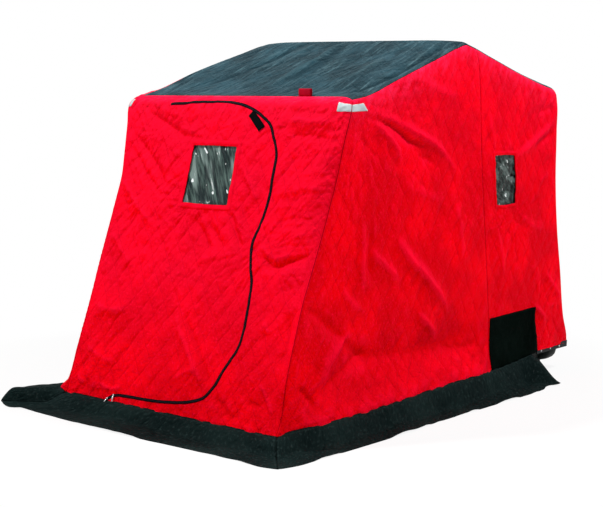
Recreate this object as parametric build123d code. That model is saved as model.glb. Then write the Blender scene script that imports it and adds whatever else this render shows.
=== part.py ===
from build123d import *
import os
from math import atan2, cos, degrees, hypot, radians, sin, tan

# A flip-over ice fishing hut: a fabric shell stretched over three folding bows that pivot on a moulded sled.
# Millimetres, +Z up. The hut is laid out with X across it, Y from the front cloth's foot towards the back,
# and Z = 0 on the ice, then written with its origin under the middle of its box.

# ---- Driving sizes of the shell -------------------------------------------------------------------------
CLOTH = 6.0                     # insulated cloth: shell, quilted fill and lining
HALF_WIDTH = 742.0              # outer face of a side wall
FRONT_FOOT_HEIGHT = 80.0        # where the front cloth ends and the skirt starts
FRONT_HEAD = (498.0, 1645.0)    # Y, Z of the front bow's corner
ROOF_SEAM_BACK = 94.0           # the front cloth runs this far over the roof before the roof cloth starts
RIDGE = (1622.0, 2002.0)        # Y, Z of the middle bow's corner, the highest line
REAR_HEAD = (2660.0, 1774.0)    # Y, Z of the rear bow's corner
REAR_FOOT_Y = 2940.0            # outer face of the back cloth at the sled's rim
ROOF_FRONT_SAG = 12.0
ROOF_REAR_SAG = 26.0
REAR_SAG = 62.0
HEM_REAR_HEIGHT = 140.0         # the side cloth's hem at the back, under the rim's edge
HEM_SAG = 14.0

# ---- Side walls -----------------------------------------------------------------------------------------
SEAM_TOP_Y = 1700.0             # the seam between a side's front and rear panels
SEAM_KNEE = (1823.0, 1091.0)
SEAM_FOOT_Y = 1978.0
SIDE_WINDOW_CENTRE = (2058.0, 1228.0)
SIDE_WINDOW = (220.0, 286.0)
WINDOW_CORNER = 6.0
VINYL = 1.0

# ---- Door in the front wall: X across, S up the slope from the foot ---------------------------------------
DOOR_LEFT = -420.0
DOOR_BOTTOM = 30.0
DOOR_TOP = 1625.0
DOOR_SHOULDER = 1350.0          # where the zip ends its turn at the top and runs down
DOOR_WAIST = 332.0
DOOR_WAIST_UP = 885.0
DOOR_HIP = 414.0
DOOR_HIP_UP = 480.0
ZIP_WIDTH = 14.0
ZIP_HEIGHT = 2.0
DOOR_WINDOW_CENTRE = (-47.0, 1243.0)
DOOR_WINDOW = (304.0, 314.0)
TAB_CENTRE = (192.0, 1528.0)
TAB = (112.0, 38.0, 2.5)
TAB_ANGLE = -37.0
PULL = (9.0, 34.0, 3.0)
PULL_PLACES = ((-421.0, 17.0, -52.0), (-374.0, 14.0, -8.0))     # X, S and turn in degrees

# ---- Trim -----------------------------------------------------------------------------------------------
PATCH_OUTLINE = ((1961.0, 422.0), (2503.0, 432.0), (2538.0, 184.0), (1982.0, 122.0))
PATCH_THICKNESS = 3.0
REFLECTOR_FRONT = 78.0
REFLECTOR_SIDE = 116.0
REFLECTOR_HEIGHT = 48.0
REFLECTOR_DROP = 22.0
REFLECTOR_THICKNESS = 1.2
LOOP_X = (357.0, 436.0)
LOOP_HEIGHT = 38.0
LOOP_DEPTH = 14.0
WEBBING = 2.5

# ---- Skirt ----------------------------------------------------------------------------------------------
SKIRT_CLOTH = 3.0
SKIRT_REACH = 232.0
SKIRT_BEND = 18.0
SKIRT_CORNER_CUT = 40.0
SKIRT_REAR_Y = 2392.0
SKIRT_REAR_INNER_Y = 2330.0

# ---- Sled -----------------------------------------------------------------------------------------------
RIM_TOP = 180.0
RIM_FRONT_Y = 1990.0
RIM_LIP_HEIGHT = 40.0
SLED_WALL = 5.0
RIM_END_WIDTH = 56.0            # flange at each end, which carries the pivots
RIM_SIDE_WIDTH = 44.0           # flange along the front and the back
RIM_CORNER = 30.0
TUB_CORNER = 110.0
TUB_FLOOR_HEIGHT = 14.0
TUB_DRAFT = 19.0                # lean of the tub's walls in degrees
KEEL_ROUND = 44.0               # inner round between the tub's floor and its walls
RUNNERS = 3
RUNNER_WIDTH = 46.0
RUNNER_TIP = 30.0               # how far a runner's top end reaches past its sole
BEAD_WIDTH = 84.0               # raised beads in the floor, one between each two runners
BEAD_HEIGHT = 8.0
FLUTE_PITCH = 116.0             # upright flutes pressed into the tub's long walls
FLUTE_WIDTH = 48.0
FLUTE_DEPTH = 9.0
PRESS_DRAFT = 6.0               # how much each side of a flute or a bead leans
BATTEN = (6.0, 40.0)
BATTEN_FRONT_Y = 2546.0
RIM_TURN = 12.0                 # how far above the rim the back cloth turns upright

# ---- Bows, arms and pivots --------------------------------------------------------------------------------
BOW_TUBE = 22.2                 # square tube
TUBE_WALL = 1.5
SEAT_GAP = 0.02                 # between a crossbar and the cloth that lies on it
ARM_TUBE = BOW_TUBE + 2 * TUBE_WALL
BOW_BEND = 62.0
ARM_INSET = 21.0                # from a side wall's inner face to the middle of the arms
BOW_LEG = 520.0                 # straight of a bow's leg, most of it outside the arm
BOW_OVERLAP = 160.0             # length of the leg inside the arm
COLLAR_LENGTH = 46.0
COLLAR_WALL = 3.5
BRACKET_PLATE = 3.0
BRACKET_LENGTH = 300.0
BRACKET_HEIGHT = 72.0
PIVOT_Y = (2165.0, 2250.0, 2335.0)
PIVOT_HEIGHT = 46.0             # above the rim
PIN = 9.5
PIN_HEAD = 3.0
PIN_HEX = 15.0                  # across the flats of a bolt's head and of its nut

INNER = HALF_WIDTH - CLOTH      # inner face of a side wall
ARM_PLANE_X = INNER - ARM_INSET
FAR = 4000.0                    # longer than the hut, for cutting shapes
FRONT_LEAN = degrees(atan2(FRONT_HEAD[0], FRONT_HEAD[1] - FRONT_FOOT_HEIGHT))
FRONT_LENGTH = hypot(FRONT_HEAD[0], FRONT_HEAD[1] - FRONT_FOOT_HEIGHT)
SIDE_PLANE = Plane.YZ           # its own x is the hut's Y, its own y the hut's Z
FRONT_PLANE = Plane(
    origin=(0, 0, FRONT_FOOT_HEIGHT),
    x_dir=(1, 0, 0),
    z_dir=(0, -cos(radians(FRONT_LEAN)), sin(radians(FRONT_LEAN))),
)
SKIRT_FRONT_Y = -SKIRT_REACH
BACK_Y = REAR_FOOT_Y + BATTEN[0]
MIDDLE_Y = (SKIRT_FRONT_Y + BACK_Y) / 2


def save(name, shape):
    """Writes one piece, moved so that the hut's origin is under the middle of its box."""
    export_step(Pos(0, -MIDDLE_Y, 0) * shape, os.path.join("parts", name + ".step"))


def mirrored(shape):
    return mirror(shape, about=Plane.YZ)


def sagging(start, end, sag):
    """The arc between two points of the side view that hangs inward of the straight line by sag."""
    run = (end[0] - start[0], end[1] - start[1])
    length = hypot(*run)
    inward = (run[1] / length, -run[0] / length)
    middle = ((start[0] + end[0]) / 2 + inward[0] * sag, (start[1] + end[1]) / 2 + inward[1] * sag)
    return ThreePointArc(start, middle, end)


def side_outline():
    """The shell's outer outline from the side, with its hem along the bottom."""
    foot = (0, FRONT_FOOT_HEIGHT)
    rim_back = (REAR_FOOT_Y, RIM_TOP + RIM_TURN)
    hem_back = (REAR_FOOT_Y, HEM_REAR_HEIGHT)
    edges = [
        Line(foot, FRONT_HEAD),
        sagging(FRONT_HEAD, RIDGE, ROOF_FRONT_SAG),
        sagging(RIDGE, REAR_HEAD, ROOF_REAR_SAG),
        sagging(REAR_HEAD, rim_back, REAR_SAG),
        Line(rim_back, hem_back),
        sagging(hem_back, foot, -HEM_SAG),
    ]
    return make_face(edges)


def shell_band():
    """The side view of the cloth that runs over the front, roof and back, as one band of even thickness."""
    depth = FRONT_HEAD[1]
    foot = (FRONT_HEAD[0] - depth * tan(radians(FRONT_LEAN)), 0)
    rim_back = (REAR_FOOT_Y, RIM_TOP + RIM_TURN)
    edges = [
        Line(foot, FRONT_HEAD),
        sagging(FRONT_HEAD, RIDGE, ROOF_FRONT_SAG),
        sagging(RIDGE, REAR_HEAD, ROOF_REAR_SAG),
        sagging(REAR_HEAD, rim_back, REAR_SAG),
        Line(rim_back, (REAR_FOOT_Y, 0)),
        Line((REAR_FOOT_Y, 0), foot),
    ]
    whole = make_face(edges)
    hollow = offset(whole, amount=-CLOTH, kind=Kind.INTERSECTION)
    return (whole - hollow) & side_outline()


def inner_corner(corner, depth):
    """Where a bow's corner moves to, that deep inside the outline."""
    inside = offset(side_outline(), amount=-depth, kind=Kind.INTERSECTION)
    nearest = min(inside.vertices(), key=lambda v: hypot(v.X - corner[0], v.Y - corner[1]))
    return (nearest.X, nearest.Y)


def mitre(corner):
    """Two points of the mitre line through a bow's corner: one outside the shell, one well inside."""
    inside = inner_corner(corner, CLOTH)
    step = ((inside[0] - corner[0]) / CLOTH, (inside[1] - corner[1]) / CLOTH)
    outer_end = (corner[0] - 50 * step[0], corner[1] - 50 * step[1])
    inner_end = (corner[0] + 150 * step[0], corner[1] + 150 * step[1])
    return outer_end, inner_end


def roof_seam():
    """Two points of the line square to the roof where the front cloth meets the roof cloth."""
    run = (RIDGE[0] - FRONT_HEAD[0], RIDGE[1] - FRONT_HEAD[1])
    along = (run[0] / hypot(*run), run[1] / hypot(*run))
    seam = (FRONT_HEAD[0] + ROOF_SEAM_BACK * along[0], FRONT_HEAD[1] + ROOF_SEAM_BACK * along[1])
    outer_end = (seam[0] - 50 * along[1], seam[1] + 50 * along[0])
    inner_end = (seam[0] + 150 * along[1], seam[1] - 150 * along[0])
    return outer_end, inner_end


def band_between(start, end):
    """The cloth band between two mitre lines, as a slab that fills the width between the side walls."""
    window = make_face(Polyline(start[0], end[0], end[1], start[1], close=True))
    return extrude(SIDE_PLANE * (shell_band() & window), amount=INNER, both=True)


def front_panel():
    """The sloping front and the strip of the same cloth that runs on over the front bow."""
    below = ((-400, -200), (600, -200))
    return band_between(below, mitre(FRONT_HEAD)) + band_between(mitre(FRONT_HEAD), roof_seam())


def rear_panel():
    below = ((REAR_FOOT_Y + 200, -200), (REAR_FOOT_Y - 300, -200))
    return band_between(mitre(REAR_HEAD), below)


def on_front(x, up, turn=0.0):
    """A place on the front wall's outer face."""
    return FRONT_PLANE * Pos(x, up) * Rot(0, 0, turn)


def zip_run():
    """The zip's line: along the top, round the corner, in at the waist and out again, then along the hem."""
    return FilletPolyline(
        (DOOR_LEFT, DOOR_TOP),
        (80, DOOR_TOP + 23),
        (303, DOOR_TOP - 108),
        (DOOR_WAIST + 44, DOOR_SHOULDER),
        (DOOR_WAIST + 54, DOOR_SHOULDER - 260),
        (DOOR_WAIST, DOOR_WAIST_UP),
        (DOOR_HIP - 10, DOOR_HIP_UP + 210),
        (DOOR_HIP, DOOR_HIP_UP - 55),
        (264, DOOR_BOTTOM + 66),
        (60, DOOR_BOTTOM + 20),
        (DOOR_LEFT, DOOR_BOTTOM),
        radius=[420, 140, 300, 500, 150, 500, 260, 110, 900],
    )


def door_outline():
    """The door from its zip to the upright line on the left where it folds."""
    return make_face([*zip_run().edges(), Line((DOOR_LEFT, DOOR_BOTTOM), (DOOR_LEFT, DOOR_TOP))])


def through_front(face):
    return extrude(FRONT_PLANE * face, amount=10 * CLOTH, both=True)


def door_window_outline():
    return Pos(*DOOR_WINDOW_CENTRE) * RectangleRounded(*DOOR_WINDOW, WINDOW_CORNER)


def front_wall():
    return front_panel() - through_front(door_outline())


def door_flap():
    leaf = front_panel() & through_front(door_outline())
    return leaf - through_front(door_window_outline())


def door_window():
    pane = FRONT_PLANE.offset(-(CLOTH + VINYL) / 2) * door_window_outline()
    return extrude(pane, amount=VINYL)


def door_zipper():
    """The zip's tape and teeth: a strip along the door's edge, with none at the fold on the left."""
    return extrude(FRONT_PLANE * trace(zip_run(), ZIP_WIDTH), amount=ZIP_HEIGHT)


def zipper_pulls():
    """Two sliders' pulls at the zip's lower end, each with a hole near its tip."""
    shape = RectangleRounded(PULL[0], PULL[1], PULL[0] * 0.4)
    shape -= Pos(0, -PULL[1] / 2 + PULL[0] / 2) * Circle(PULL[0] * 0.22)
    lift = FRONT_PLANE.offset(ZIP_HEIGHT)
    return Compound([extrude(lift * Pos(x, up) * Rot(0, 0, turn) * shape, amount=PULL[2]).solid()
                     for x, up, turn in PULL_PLACES])


def door_tie_tab():
    return extrude(on_front(*TAB_CENTRE, TAB_ANGLE) * Rectangle(TAB[0], TAB[1]), amount=TAB[2])


def side_slab(face, start=INNER, thickness=CLOTH):
    """A face of the side view made into a slab that starts at a distance from the hut's middle."""
    return extrude(Plane.YZ.offset(start) * face, amount=thickness)


def behind_seam():
    """The part of the side view behind the seam between a side's two panels."""
    return make_face(Polyline(
        (SEAM_TOP_Y, FAR),
        (SEAM_TOP_Y, RIDGE[1]),
        SEAM_KNEE,
        (SEAM_FOOT_Y, 0),
        (FAR, 0),
        (FAR, FAR),
        close=True,
    ))


def side_window_outline():
    return Pos(*SIDE_WINDOW_CENTRE) * RectangleRounded(*SIDE_WINDOW, WINDOW_CORNER)


def side_front_panel():
    return side_slab(side_outline() - behind_seam())


def side_rear_panel():
    return side_slab((side_outline() & behind_seam()) - side_window_outline())


def side_window():
    return side_slab(side_window_outline(), INNER + (CLOTH - VINYL) / 2, VINYL)


def corner_patch():
    return side_slab(make_face(Polyline(*PATCH_OUTLINE, close=True)), HALF_WIDTH, PATCH_THICKNESS)


def reflector():
    """A strip of reflective tape round the front corner, on the front wall and on the side wall."""
    outer_x = HALF_WIDTH + REFLECTOR_THICKNESS
    middle = FRONT_LENGTH - REFLECTOR_DROP - REFLECTOR_HEIGHT / 2
    front = extrude(
        on_front(outer_x - REFLECTOR_FRONT / 2, middle) * Rectangle(REFLECTOR_FRONT, REFLECTOR_HEIGHT),
        amount=REFLECTOR_THICKNESS,
    )
    lean = radians(FRONT_LEAN)
    corners = []
    for up in (middle - REFLECTOR_HEIGHT / 2, middle + REFLECTOR_HEIGHT / 2):
        y = up * sin(lean) - REFLECTOR_THICKNESS * cos(lean)
        z = FRONT_FOOT_HEIGHT + up * cos(lean) + REFLECTOR_THICKNESS * sin(lean)
        corners.append((y, z))
    low, high = corners
    side = make_face(Polyline(
        low,
        high,
        (high[0] + REFLECTOR_SIDE - REFLECTOR_HEIGHT / 2, high[1]),
        (low[0] + REFLECTOR_SIDE, low[1]),
        close=True,
    ))
    return front + side_slab(side, HALF_WIDTH, REFLECTOR_THICKNESS)


def roof_strap_loop():
    """A loop of webbing that stands on the roof's front seam."""
    height = LOOP_HEIGHT + 2 * LOOP_DEPTH
    outside = RectangleRounded(LOOP_DEPTH, height, LOOP_DEPTH * 0.45)
    inside = offset(outside, amount=-WEBBING)
    top, foot = roof_seam()
    y = (3 * top[0] + foot[0]) / 4
    z = (3 * top[1] + foot[1]) / 4 + LOOP_HEIGHT - height / 2
    section = (Pos(y, z) * (outside - inside)) - side_outline()
    return side_slab(section, LOOP_X[0], LOOP_X[1] - LOOP_X[0])


def hem_prism():
    """Everything under the side walls' hem, across the hut's whole width."""
    foot = (0, FRONT_FOOT_HEIGHT)
    hem_back = (REAR_FOOT_Y, HEM_REAR_HEIGHT)
    edges = [
        sagging(hem_back, foot, -HEM_SAG),
        Polyline(foot, (-FAR, FRONT_FOOT_HEIGHT), (-FAR, -FAR), (REAR_FOOT_Y, -FAR), hem_back),
    ]
    return extrude(Plane.YZ * make_face([e for part in edges for e in part.edges()]), amount=FAR, both=True)


def skirt_section():
    """The skirt's section: down from the hem, round a soft bend, then flat along the ice."""
    half = SKIRT_CLOTH / 2
    path = FilletPolyline((-half, 300), (-half, half), (SKIRT_REACH, half), radius=SKIRT_BEND)
    return trace(path, SKIRT_CLOTH)


def side_skirt():
    """The skirt along one side, mitred to the front one and cut on a slant at the back."""
    strip = extrude(Plane.XZ * Pos(HALF_WIDTH, 0) * skirt_section(), amount=FAR, both=True)
    outer = HALF_WIDTH + SKIRT_REACH
    inside = HALF_WIDTH - 100
    half_cut = SKIRT_CORNER_CUT / 2
    plan = make_face(Polyline(
        (inside, 100),
        (outer - half_cut, -SKIRT_REACH + half_cut),
        (outer, -SKIRT_REACH + SKIRT_CORNER_CUT),
        (outer, SKIRT_REAR_Y),
        (HALF_WIDTH, SKIRT_REAR_INNER_Y),
        (inside, SKIRT_REAR_INNER_Y),
        close=True,
    ))
    return strip & extrude(plan, amount=FAR) & hem_prism()


def front_skirt():
    strip = extrude(Plane.YZ.rotated((0, 0, 180)) * skirt_section(), amount=FAR, both=True)
    outer = HALF_WIDTH + SKIRT_REACH
    inside = HALF_WIDTH - 100
    half_cut = SKIRT_CORNER_CUT / 2
    right = (
        (inside, 100),
        (outer - half_cut, -SKIRT_REACH + half_cut),
        (outer - SKIRT_CORNER_CUT, -SKIRT_REACH),
    )
    left = [(-x, y) for x, y in reversed(right)]
    plan = make_face(Polyline(*right, *left, close=True))
    return strip & extrude(plan, amount=FAR) & hem_prism()


SLED_LENGTH_Y = REAR_FOOT_Y - CLOTH - RIM_FRONT_Y
SLED_MIDDLE_Y = RIM_FRONT_Y + SLED_LENGTH_Y / 2
MOUTH = (2 * (INNER - RIM_END_WIDTH), SLED_LENGTH_Y - 2 * RIM_SIDE_WIDTH)


TUB_DEPTH = RIM_TOP - TUB_FLOOR_HEIGHT
WALL_LEAN = tan(radians(TUB_DRAFT))
FLOOR = (MOUTH[0] - 2 * TUB_DEPTH * WALL_LEAN, MOUTH[1] - 2 * TUB_DEPTH * WALL_LEAN)
SOLE = (FLOOR[0] - 2 * KEEL_ROUND, FLOOR[1] - 2 * KEEL_ROUND)      # the flat of the floor


def pressed_bar(width, height, grow):
    """The section of a flute or a bead, standing on its wide side; grown, it is the form's other face."""
    half = width / 2 + grow
    return make_face(Polyline(
        (-half, -SLED_WALL),
        (half, -SLED_WALL),
        (half, grow / 2),
        (half - PRESS_DRAFT, height),
        (-half + PRESS_DRAFT, height),
        (-half, grow / 2),
        close=True,
    ))


def flutes(grow):
    """Bars that press the flutes into the tub's long walls, leaning with them."""
    straight = FLOOR[0] - 2 * TUB_CORNER
    count = int(straight // FLUTE_PITCH)
    lean = radians(TUB_DRAFT)
    length = TUB_DEPTH - 2 * KEEL_ROUND + 2 * grow
    middle_z = TUB_FLOOR_HEIGHT + TUB_DEPTH / 2 + KEEL_ROUND / 4
    wall_y = MOUTH[1] / 2 - (RIM_TOP - middle_z) * WALL_LEAN + SLED_WALL - grow
    section = pressed_bar(FLUTE_WIDTH, FLUTE_DEPTH, grow)
    bars = []
    for side in (-1, 1):
        way_up = Vector(0, side * sin(lean), cos(lean))
        for i in range(count):
            x = FLUTE_PITCH * (i - (count - 1) / 2)
            middle = Vector(x, SLED_MIDDLE_Y + side * wall_y, middle_z)
            plane = Plane(origin=middle, x_dir=(-side, 0, 0), z_dir=way_up)
            bars.append(extrude(plane * section, amount=length / 2, both=True))
    return bars


def beads(grow):
    """Bars that press the beads up into the tub's floor, between the runners."""
    section = pressed_bar(BEAD_WIDTH, BEAD_HEIGHT, grow)
    level = TUB_FLOOR_HEIGHT - SLED_WALL + grow
    length = SOLE[0] - 2 * RUNNER_TIP + 2 * grow
    bars = []
    for i in range(RUNNERS - 1):
        y = (runner_place(i) + runner_place(i + 1)) / 2
        bars.append(extrude(Plane.YZ * Pos(y, level) * section, amount=length / 2, both=True))
    return bars


def tub_body(grow):
    """The tub's form with its rounds, flutes and beads: its inside, or its outside when grown by the wall."""
    mouth = RectangleRounded(MOUTH[0] + 2 * grow, MOUTH[1] + 2 * grow, TUB_CORNER + grow)
    body = extrude(Pos(0, SLED_MIDDLE_Y, RIM_TOP) * mouth, amount=-(TUB_DEPTH + grow), taper=TUB_DRAFT)
    body = fillet(body.edges().group_by(Axis.Z)[0], KEEL_ROUND + grow)
    return body - flutes(SLED_WALL - grow) - beads(SLED_WALL - grow)


def sled_rim():
    """The flange round the tub's mouth with its turned-down lip."""
    outline = Pos(0, SLED_MIDDLE_Y) * RectangleRounded(2 * INNER, SLED_LENGTH_Y, RIM_CORNER)
    flange = extrude(Pos(0, 0, RIM_TOP - SLED_WALL) * outline, amount=SLED_WALL)
    lip = outline - offset(outline, amount=-SLED_WALL)
    return flange + extrude(Pos(0, 0, RIM_TOP - RIM_LIP_HEIGHT) * lip, amount=RIM_LIP_HEIGHT)


def sled():
    """One moulding of even wall: the rim and the tub, fluted along its sides and beaded along its floor."""
    return sled_rim() + tub_body(SLED_WALL) - tub_body(0)


def runner_place(i):
    spread = (SOLE[1] - RUNNER_WIDTH) / 2
    return SLED_MIDDLE_Y + spread * (2 * i / (RUNNERS - 1) - 1)


def sled_runners():
    """Wear strips along the sled's underside, the way it is pulled."""
    top = TUB_FLOOR_HEIGHT - SLED_WALL
    half = SOLE[0] / 2
    sole = half - RUNNER_TIP
    outline = make_face(Polyline((-sole, 0), (sole, 0), (half, top), (-half, top), close=True))
    strips = []
    for i in range(RUNNERS):
        plane = Plane.XZ.offset(-runner_place(i))
        strips.append(extrude(plane * outline, amount=RUNNER_WIDTH / 2, both=True).solid())
    return Compound(strips)


def side_batten():
    length = BACK_Y - BATTEN_FRONT_Y
    batten = Box(BATTEN[0], length, BATTEN[1])
    return Pos(HALF_WIDTH + BATTEN[0] / 2, BATTEN_FRONT_Y + length / 2, RIM_TOP - BATTEN[1] / 2) * batten


def rear_batten():
    batten = Box(2 * HALF_WIDTH, BATTEN[0], BATTEN[1])
    return Pos(0, REAR_FOOT_Y + BATTEN[0] / 2, RIM_TOP - BATTEN[1] / 2) * batten


# ---- Folding frame ----------------------------------------------------------------------------------------
PIVOT_Z = RIM_TOP + PIVOT_HEIGHT
BOWS = {
    "front": (FRONT_HEAD, PIVOT_Y[0]),
    "middle": (RIDGE, PIVOT_Y[1]),
    "rear": (REAR_HEAD, PIVOT_Y[2]),
}


def inward_normals(corner):
    """The inward normals of the two cloth faces that meet at a bow's corner, in the side view."""
    middle = Vector(REAR_FOOT_Y / 2, FRONT_HEAD[1] / 2)
    normals = []
    for edge in side_outline().edges():
        for end in (0, 1):
            if (edge @ end - Vector(*corner)).length < SEAT_GAP:
                along = edge % end
                normal = Vector(-along.Y, along.X)
                normals.append(normal if normal.dot(middle - Vector(*corner)) > 0 else -normal)
    return normals


def bow_line(name):
    """A bow's crossbar centre and its pivot in the side view, the distance between, and the way down.

    The square crossbar lies with an edge or a face against each of the two cloth faces at its corner.
    """
    corner, pivot_y = BOWS[name]
    one, other = inward_normals(corner)
    top = inner_corner(corner, CLOTH + BOW_TUBE / 2)
    for _ in range(4):
        run = (pivot_y - top[0], PIVOT_Z - top[1])
        length = hypot(*run)
        way = (run[0] / length, run[1] / length)
        depths = []
        for normal in (one, other):
            reach = abs(normal.X * way[0] + normal.Y * way[1]) + abs(normal.X * way[1] - normal.Y * way[0])
            depths.append(CLOTH + SEAT_GAP + reach * BOW_TUBE / 2)
        spread = one.X * other.Y - one.Y * other.X
        top = (
            corner[0] + (depths[0] * other.Y - depths[1] * one.Y) / spread,
            corner[1] + (depths[1] * one.X - depths[0] * other.X) / spread,
        )
    return top, length, way


def bow_plane(name):
    """The plane of a bow: its x is the hut's X, its y runs from the crossbar down to the pivot."""
    top, _, way = bow_line(name)
    normal = Vector(1, 0, 0).cross(Vector(0, *way))
    return Plane(origin=(0, *top), x_dir=(1, 0, 0), z_dir=normal)


def tube(path, outside, wall):
    """A square tube along a path in a bow's plane."""
    bore = outside - 2 * wall
    ring = Rectangle(outside, outside) - Rectangle(bore, bore)
    start = Plane(origin=path @ 0, x_dir=(1, 0, 0), z_dir=path % 0)
    return sweep(start * ring, path=path)


def bow(name):
    """A bent tube: a crossbar with two legs that slide into the arms."""
    across = ARM_PLANE_X
    path = FilletPolyline(
        (-across, BOW_LEG),
        (-across, 0),
        (across, 0),
        (across, BOW_LEG),
        radius=BOW_BEND,
    )
    return tube(bow_plane(name) * path, BOW_TUBE, TUBE_WALL)


def arm(name):
    """The outer tube of one leg, from its pivot on the sled up over the end of the bow's leg."""
    _, length, _ = bow_line(name)
    end = length + ARM_TUBE * 0.7
    path = bow_plane(name) * Line((ARM_PLANE_X, BOW_LEG - BOW_OVERLAP), (ARM_PLANE_X, end))
    return tube(path, ARM_TUBE, TUBE_WALL) - pin_hole(BOWS[name][1])


def collar(name):
    """The clamp at an arm's top, stepped from the arm's diameter down to the leg's."""
    start = BOW_LEG - BOW_OVERLAP
    plane = bow_plane(name)
    outside = ARM_TUBE + 2 * COLLAR_WALL
    low = plane * Line((ARM_PLANE_X, start), (ARM_PLANE_X, start + COLLAR_LENGTH * 0.65))
    high = plane * Line((ARM_PLANE_X, start - COLLAR_LENGTH * 0.35), (ARM_PLANE_X, start))
    grip = tube(low, outside, COLLAR_WALL)
    return (grip + tube(high, outside, COLLAR_WALL + TUBE_WALL)).solid()


def pin_hole(y):
    return Pos(ARM_PLANE_X, y, PIVOT_Z) * Rot(0, 90, 0) * Cylinder(PIN / 2, 4 * ARM_TUBE)


def pivot_bracket():
    """A folded channel on the sled's rim that carries the three pivots of one side."""
    gap = ARM_TUBE
    width = gap + 2 * BRACKET_PLATE
    middle_y = sum(PIVOT_Y) / len(PIVOT_Y)
    block = Box(width, BRACKET_LENGTH, BRACKET_HEIGHT, align=(Align.CENTER, Align.CENTER, Align.MIN))
    block = fillet(block.edges().filter_by(Axis.X).group_by(Axis.Z)[-1], BRACKET_HEIGHT * 0.45)
    trough = Box(gap, 2 * BRACKET_LENGTH, BRACKET_HEIGHT, align=(Align.CENTER, Align.CENTER, Align.MIN))
    channel = block - Pos(0, 0, BRACKET_PLATE) * trough
    channel = Pos(ARM_PLANE_X, middle_y, RIM_TOP) * channel
    for y in PIVOT_Y:
        channel -= pin_hole(y)
    return channel


def pivot_pins():
    """A bolt through each arm's foot, with its hexagon head on one side and its nut on the other."""
    length = ARM_TUBE + 2 * BRACKET_PLATE
    hexagon = RegularPolygon(PIN_HEX / 2, 6, major_radius=False)
    pins = []
    for y in PIVOT_Y:
        pin = Cylinder(PIN / 2, length)
        for end in (-1, 1):
            pin += extrude(Pos(0, 0, end * length / 2) * hexagon, amount=end * PIN_HEAD)
        pins.append((Pos(ARM_PLANE_X, y, PIVOT_Z) * Rot(0, 90, 0) * pin).solid())
    return Compound(pins)


def main():
    os.makedirs("parts", exist_ok=True)
    single = {
        "front_wall": front_wall(),
        "door_flap": door_flap(),
        "door_zipper": door_zipper(),
        "zipper_pulls": zipper_pulls(),
        "door_window": door_window(),
        "door_tie_tab": door_tie_tab(),
        "roof_front_panel": band_between(roof_seam(), mitre(RIDGE)),
        "roof_rear_panel": band_between(mitre(RIDGE), mitre(REAR_HEAD)),
        "rear_wall": rear_panel(),
        "front_skirt": front_skirt(),
        "roof_strap_loop": roof_strap_loop(),
        "sled": sled(),
        "sled_runners": sled_runners(),
        "rear_batten": rear_batten(),
    }
    paired = {
        "side_front_panel": side_front_panel(),
        "side_rear_panel": side_rear_panel(),
        "side_window": side_window(),
        "corner_patch": corner_patch(),
        "front_reflector": reflector(),
        "side_skirt": side_skirt(),
        "side_batten": side_batten(),
        "pivot_bracket": pivot_bracket(),
        "pivot_pins": pivot_pins(),
        "arm_collars": Compound([collar(name) for name in BOWS]),
    }
    for name in BOWS:
        single[name + "_bow"] = bow(name)
        paired[name + "_arm"] = arm(name)
    for name, shape in single.items():
        save(name, shape)
    for name, shape in paired.items():
        save("right_" + name, shape)
        save("left_" + name, mirrored(shape))


main()
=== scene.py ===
"""Looks of the ice fishing hut: its cloth shell, door, skirts and trim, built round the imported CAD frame."""
import math

import bpy
import numpy as np
from mathutils import Matrix, Vector


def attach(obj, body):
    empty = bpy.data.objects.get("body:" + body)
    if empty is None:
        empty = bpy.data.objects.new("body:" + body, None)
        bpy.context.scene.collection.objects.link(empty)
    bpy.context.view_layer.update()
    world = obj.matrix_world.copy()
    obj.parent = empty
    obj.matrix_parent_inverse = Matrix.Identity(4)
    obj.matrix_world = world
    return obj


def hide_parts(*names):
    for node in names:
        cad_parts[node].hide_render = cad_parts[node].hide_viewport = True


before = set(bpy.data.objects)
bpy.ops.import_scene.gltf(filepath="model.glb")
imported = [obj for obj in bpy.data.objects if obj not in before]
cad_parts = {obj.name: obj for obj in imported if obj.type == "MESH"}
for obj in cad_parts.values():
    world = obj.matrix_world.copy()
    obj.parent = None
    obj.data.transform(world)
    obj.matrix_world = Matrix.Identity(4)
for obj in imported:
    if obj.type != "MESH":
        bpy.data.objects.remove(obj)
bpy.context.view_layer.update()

# ---- Sizes in metres. The hut is laid out with Y from the front cloth's foot, and moved to the row frame last.
MIDDLE_Y = 1.357
FOOT_Z = 0.08
HEAD = np.array([0.498, 1.645])    # Y and Z of the front bow's crossbar
RIDGE = np.array([1.622, 2.002])
REAR_TOP = 1.774 + 0.0097         # Z of the cloth over the rear bow
ROOF_HALF = 0.719                 # from the roof's middle to its seams
CLOTH = 0.005
LEAN = math.atan2(HEAD[0], HEAD[1] - FOOT_Z)
SLOPE = math.hypot(HEAD[0], HEAD[1] - FOOT_Z)
X_AXIS = np.array([1.0, 0.0, 0.0])
Y_AXIS = np.array([0.0, 1.0, 0.0])
Z_AXIS = np.array([0.0, 0.0, 1.0])
UP_FRONT = np.array([0.0, math.sin(LEAN), math.cos(LEAN)])
OUT_FRONT = np.array([0.0, -math.cos(LEAN), math.sin(LEAN)])


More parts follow.
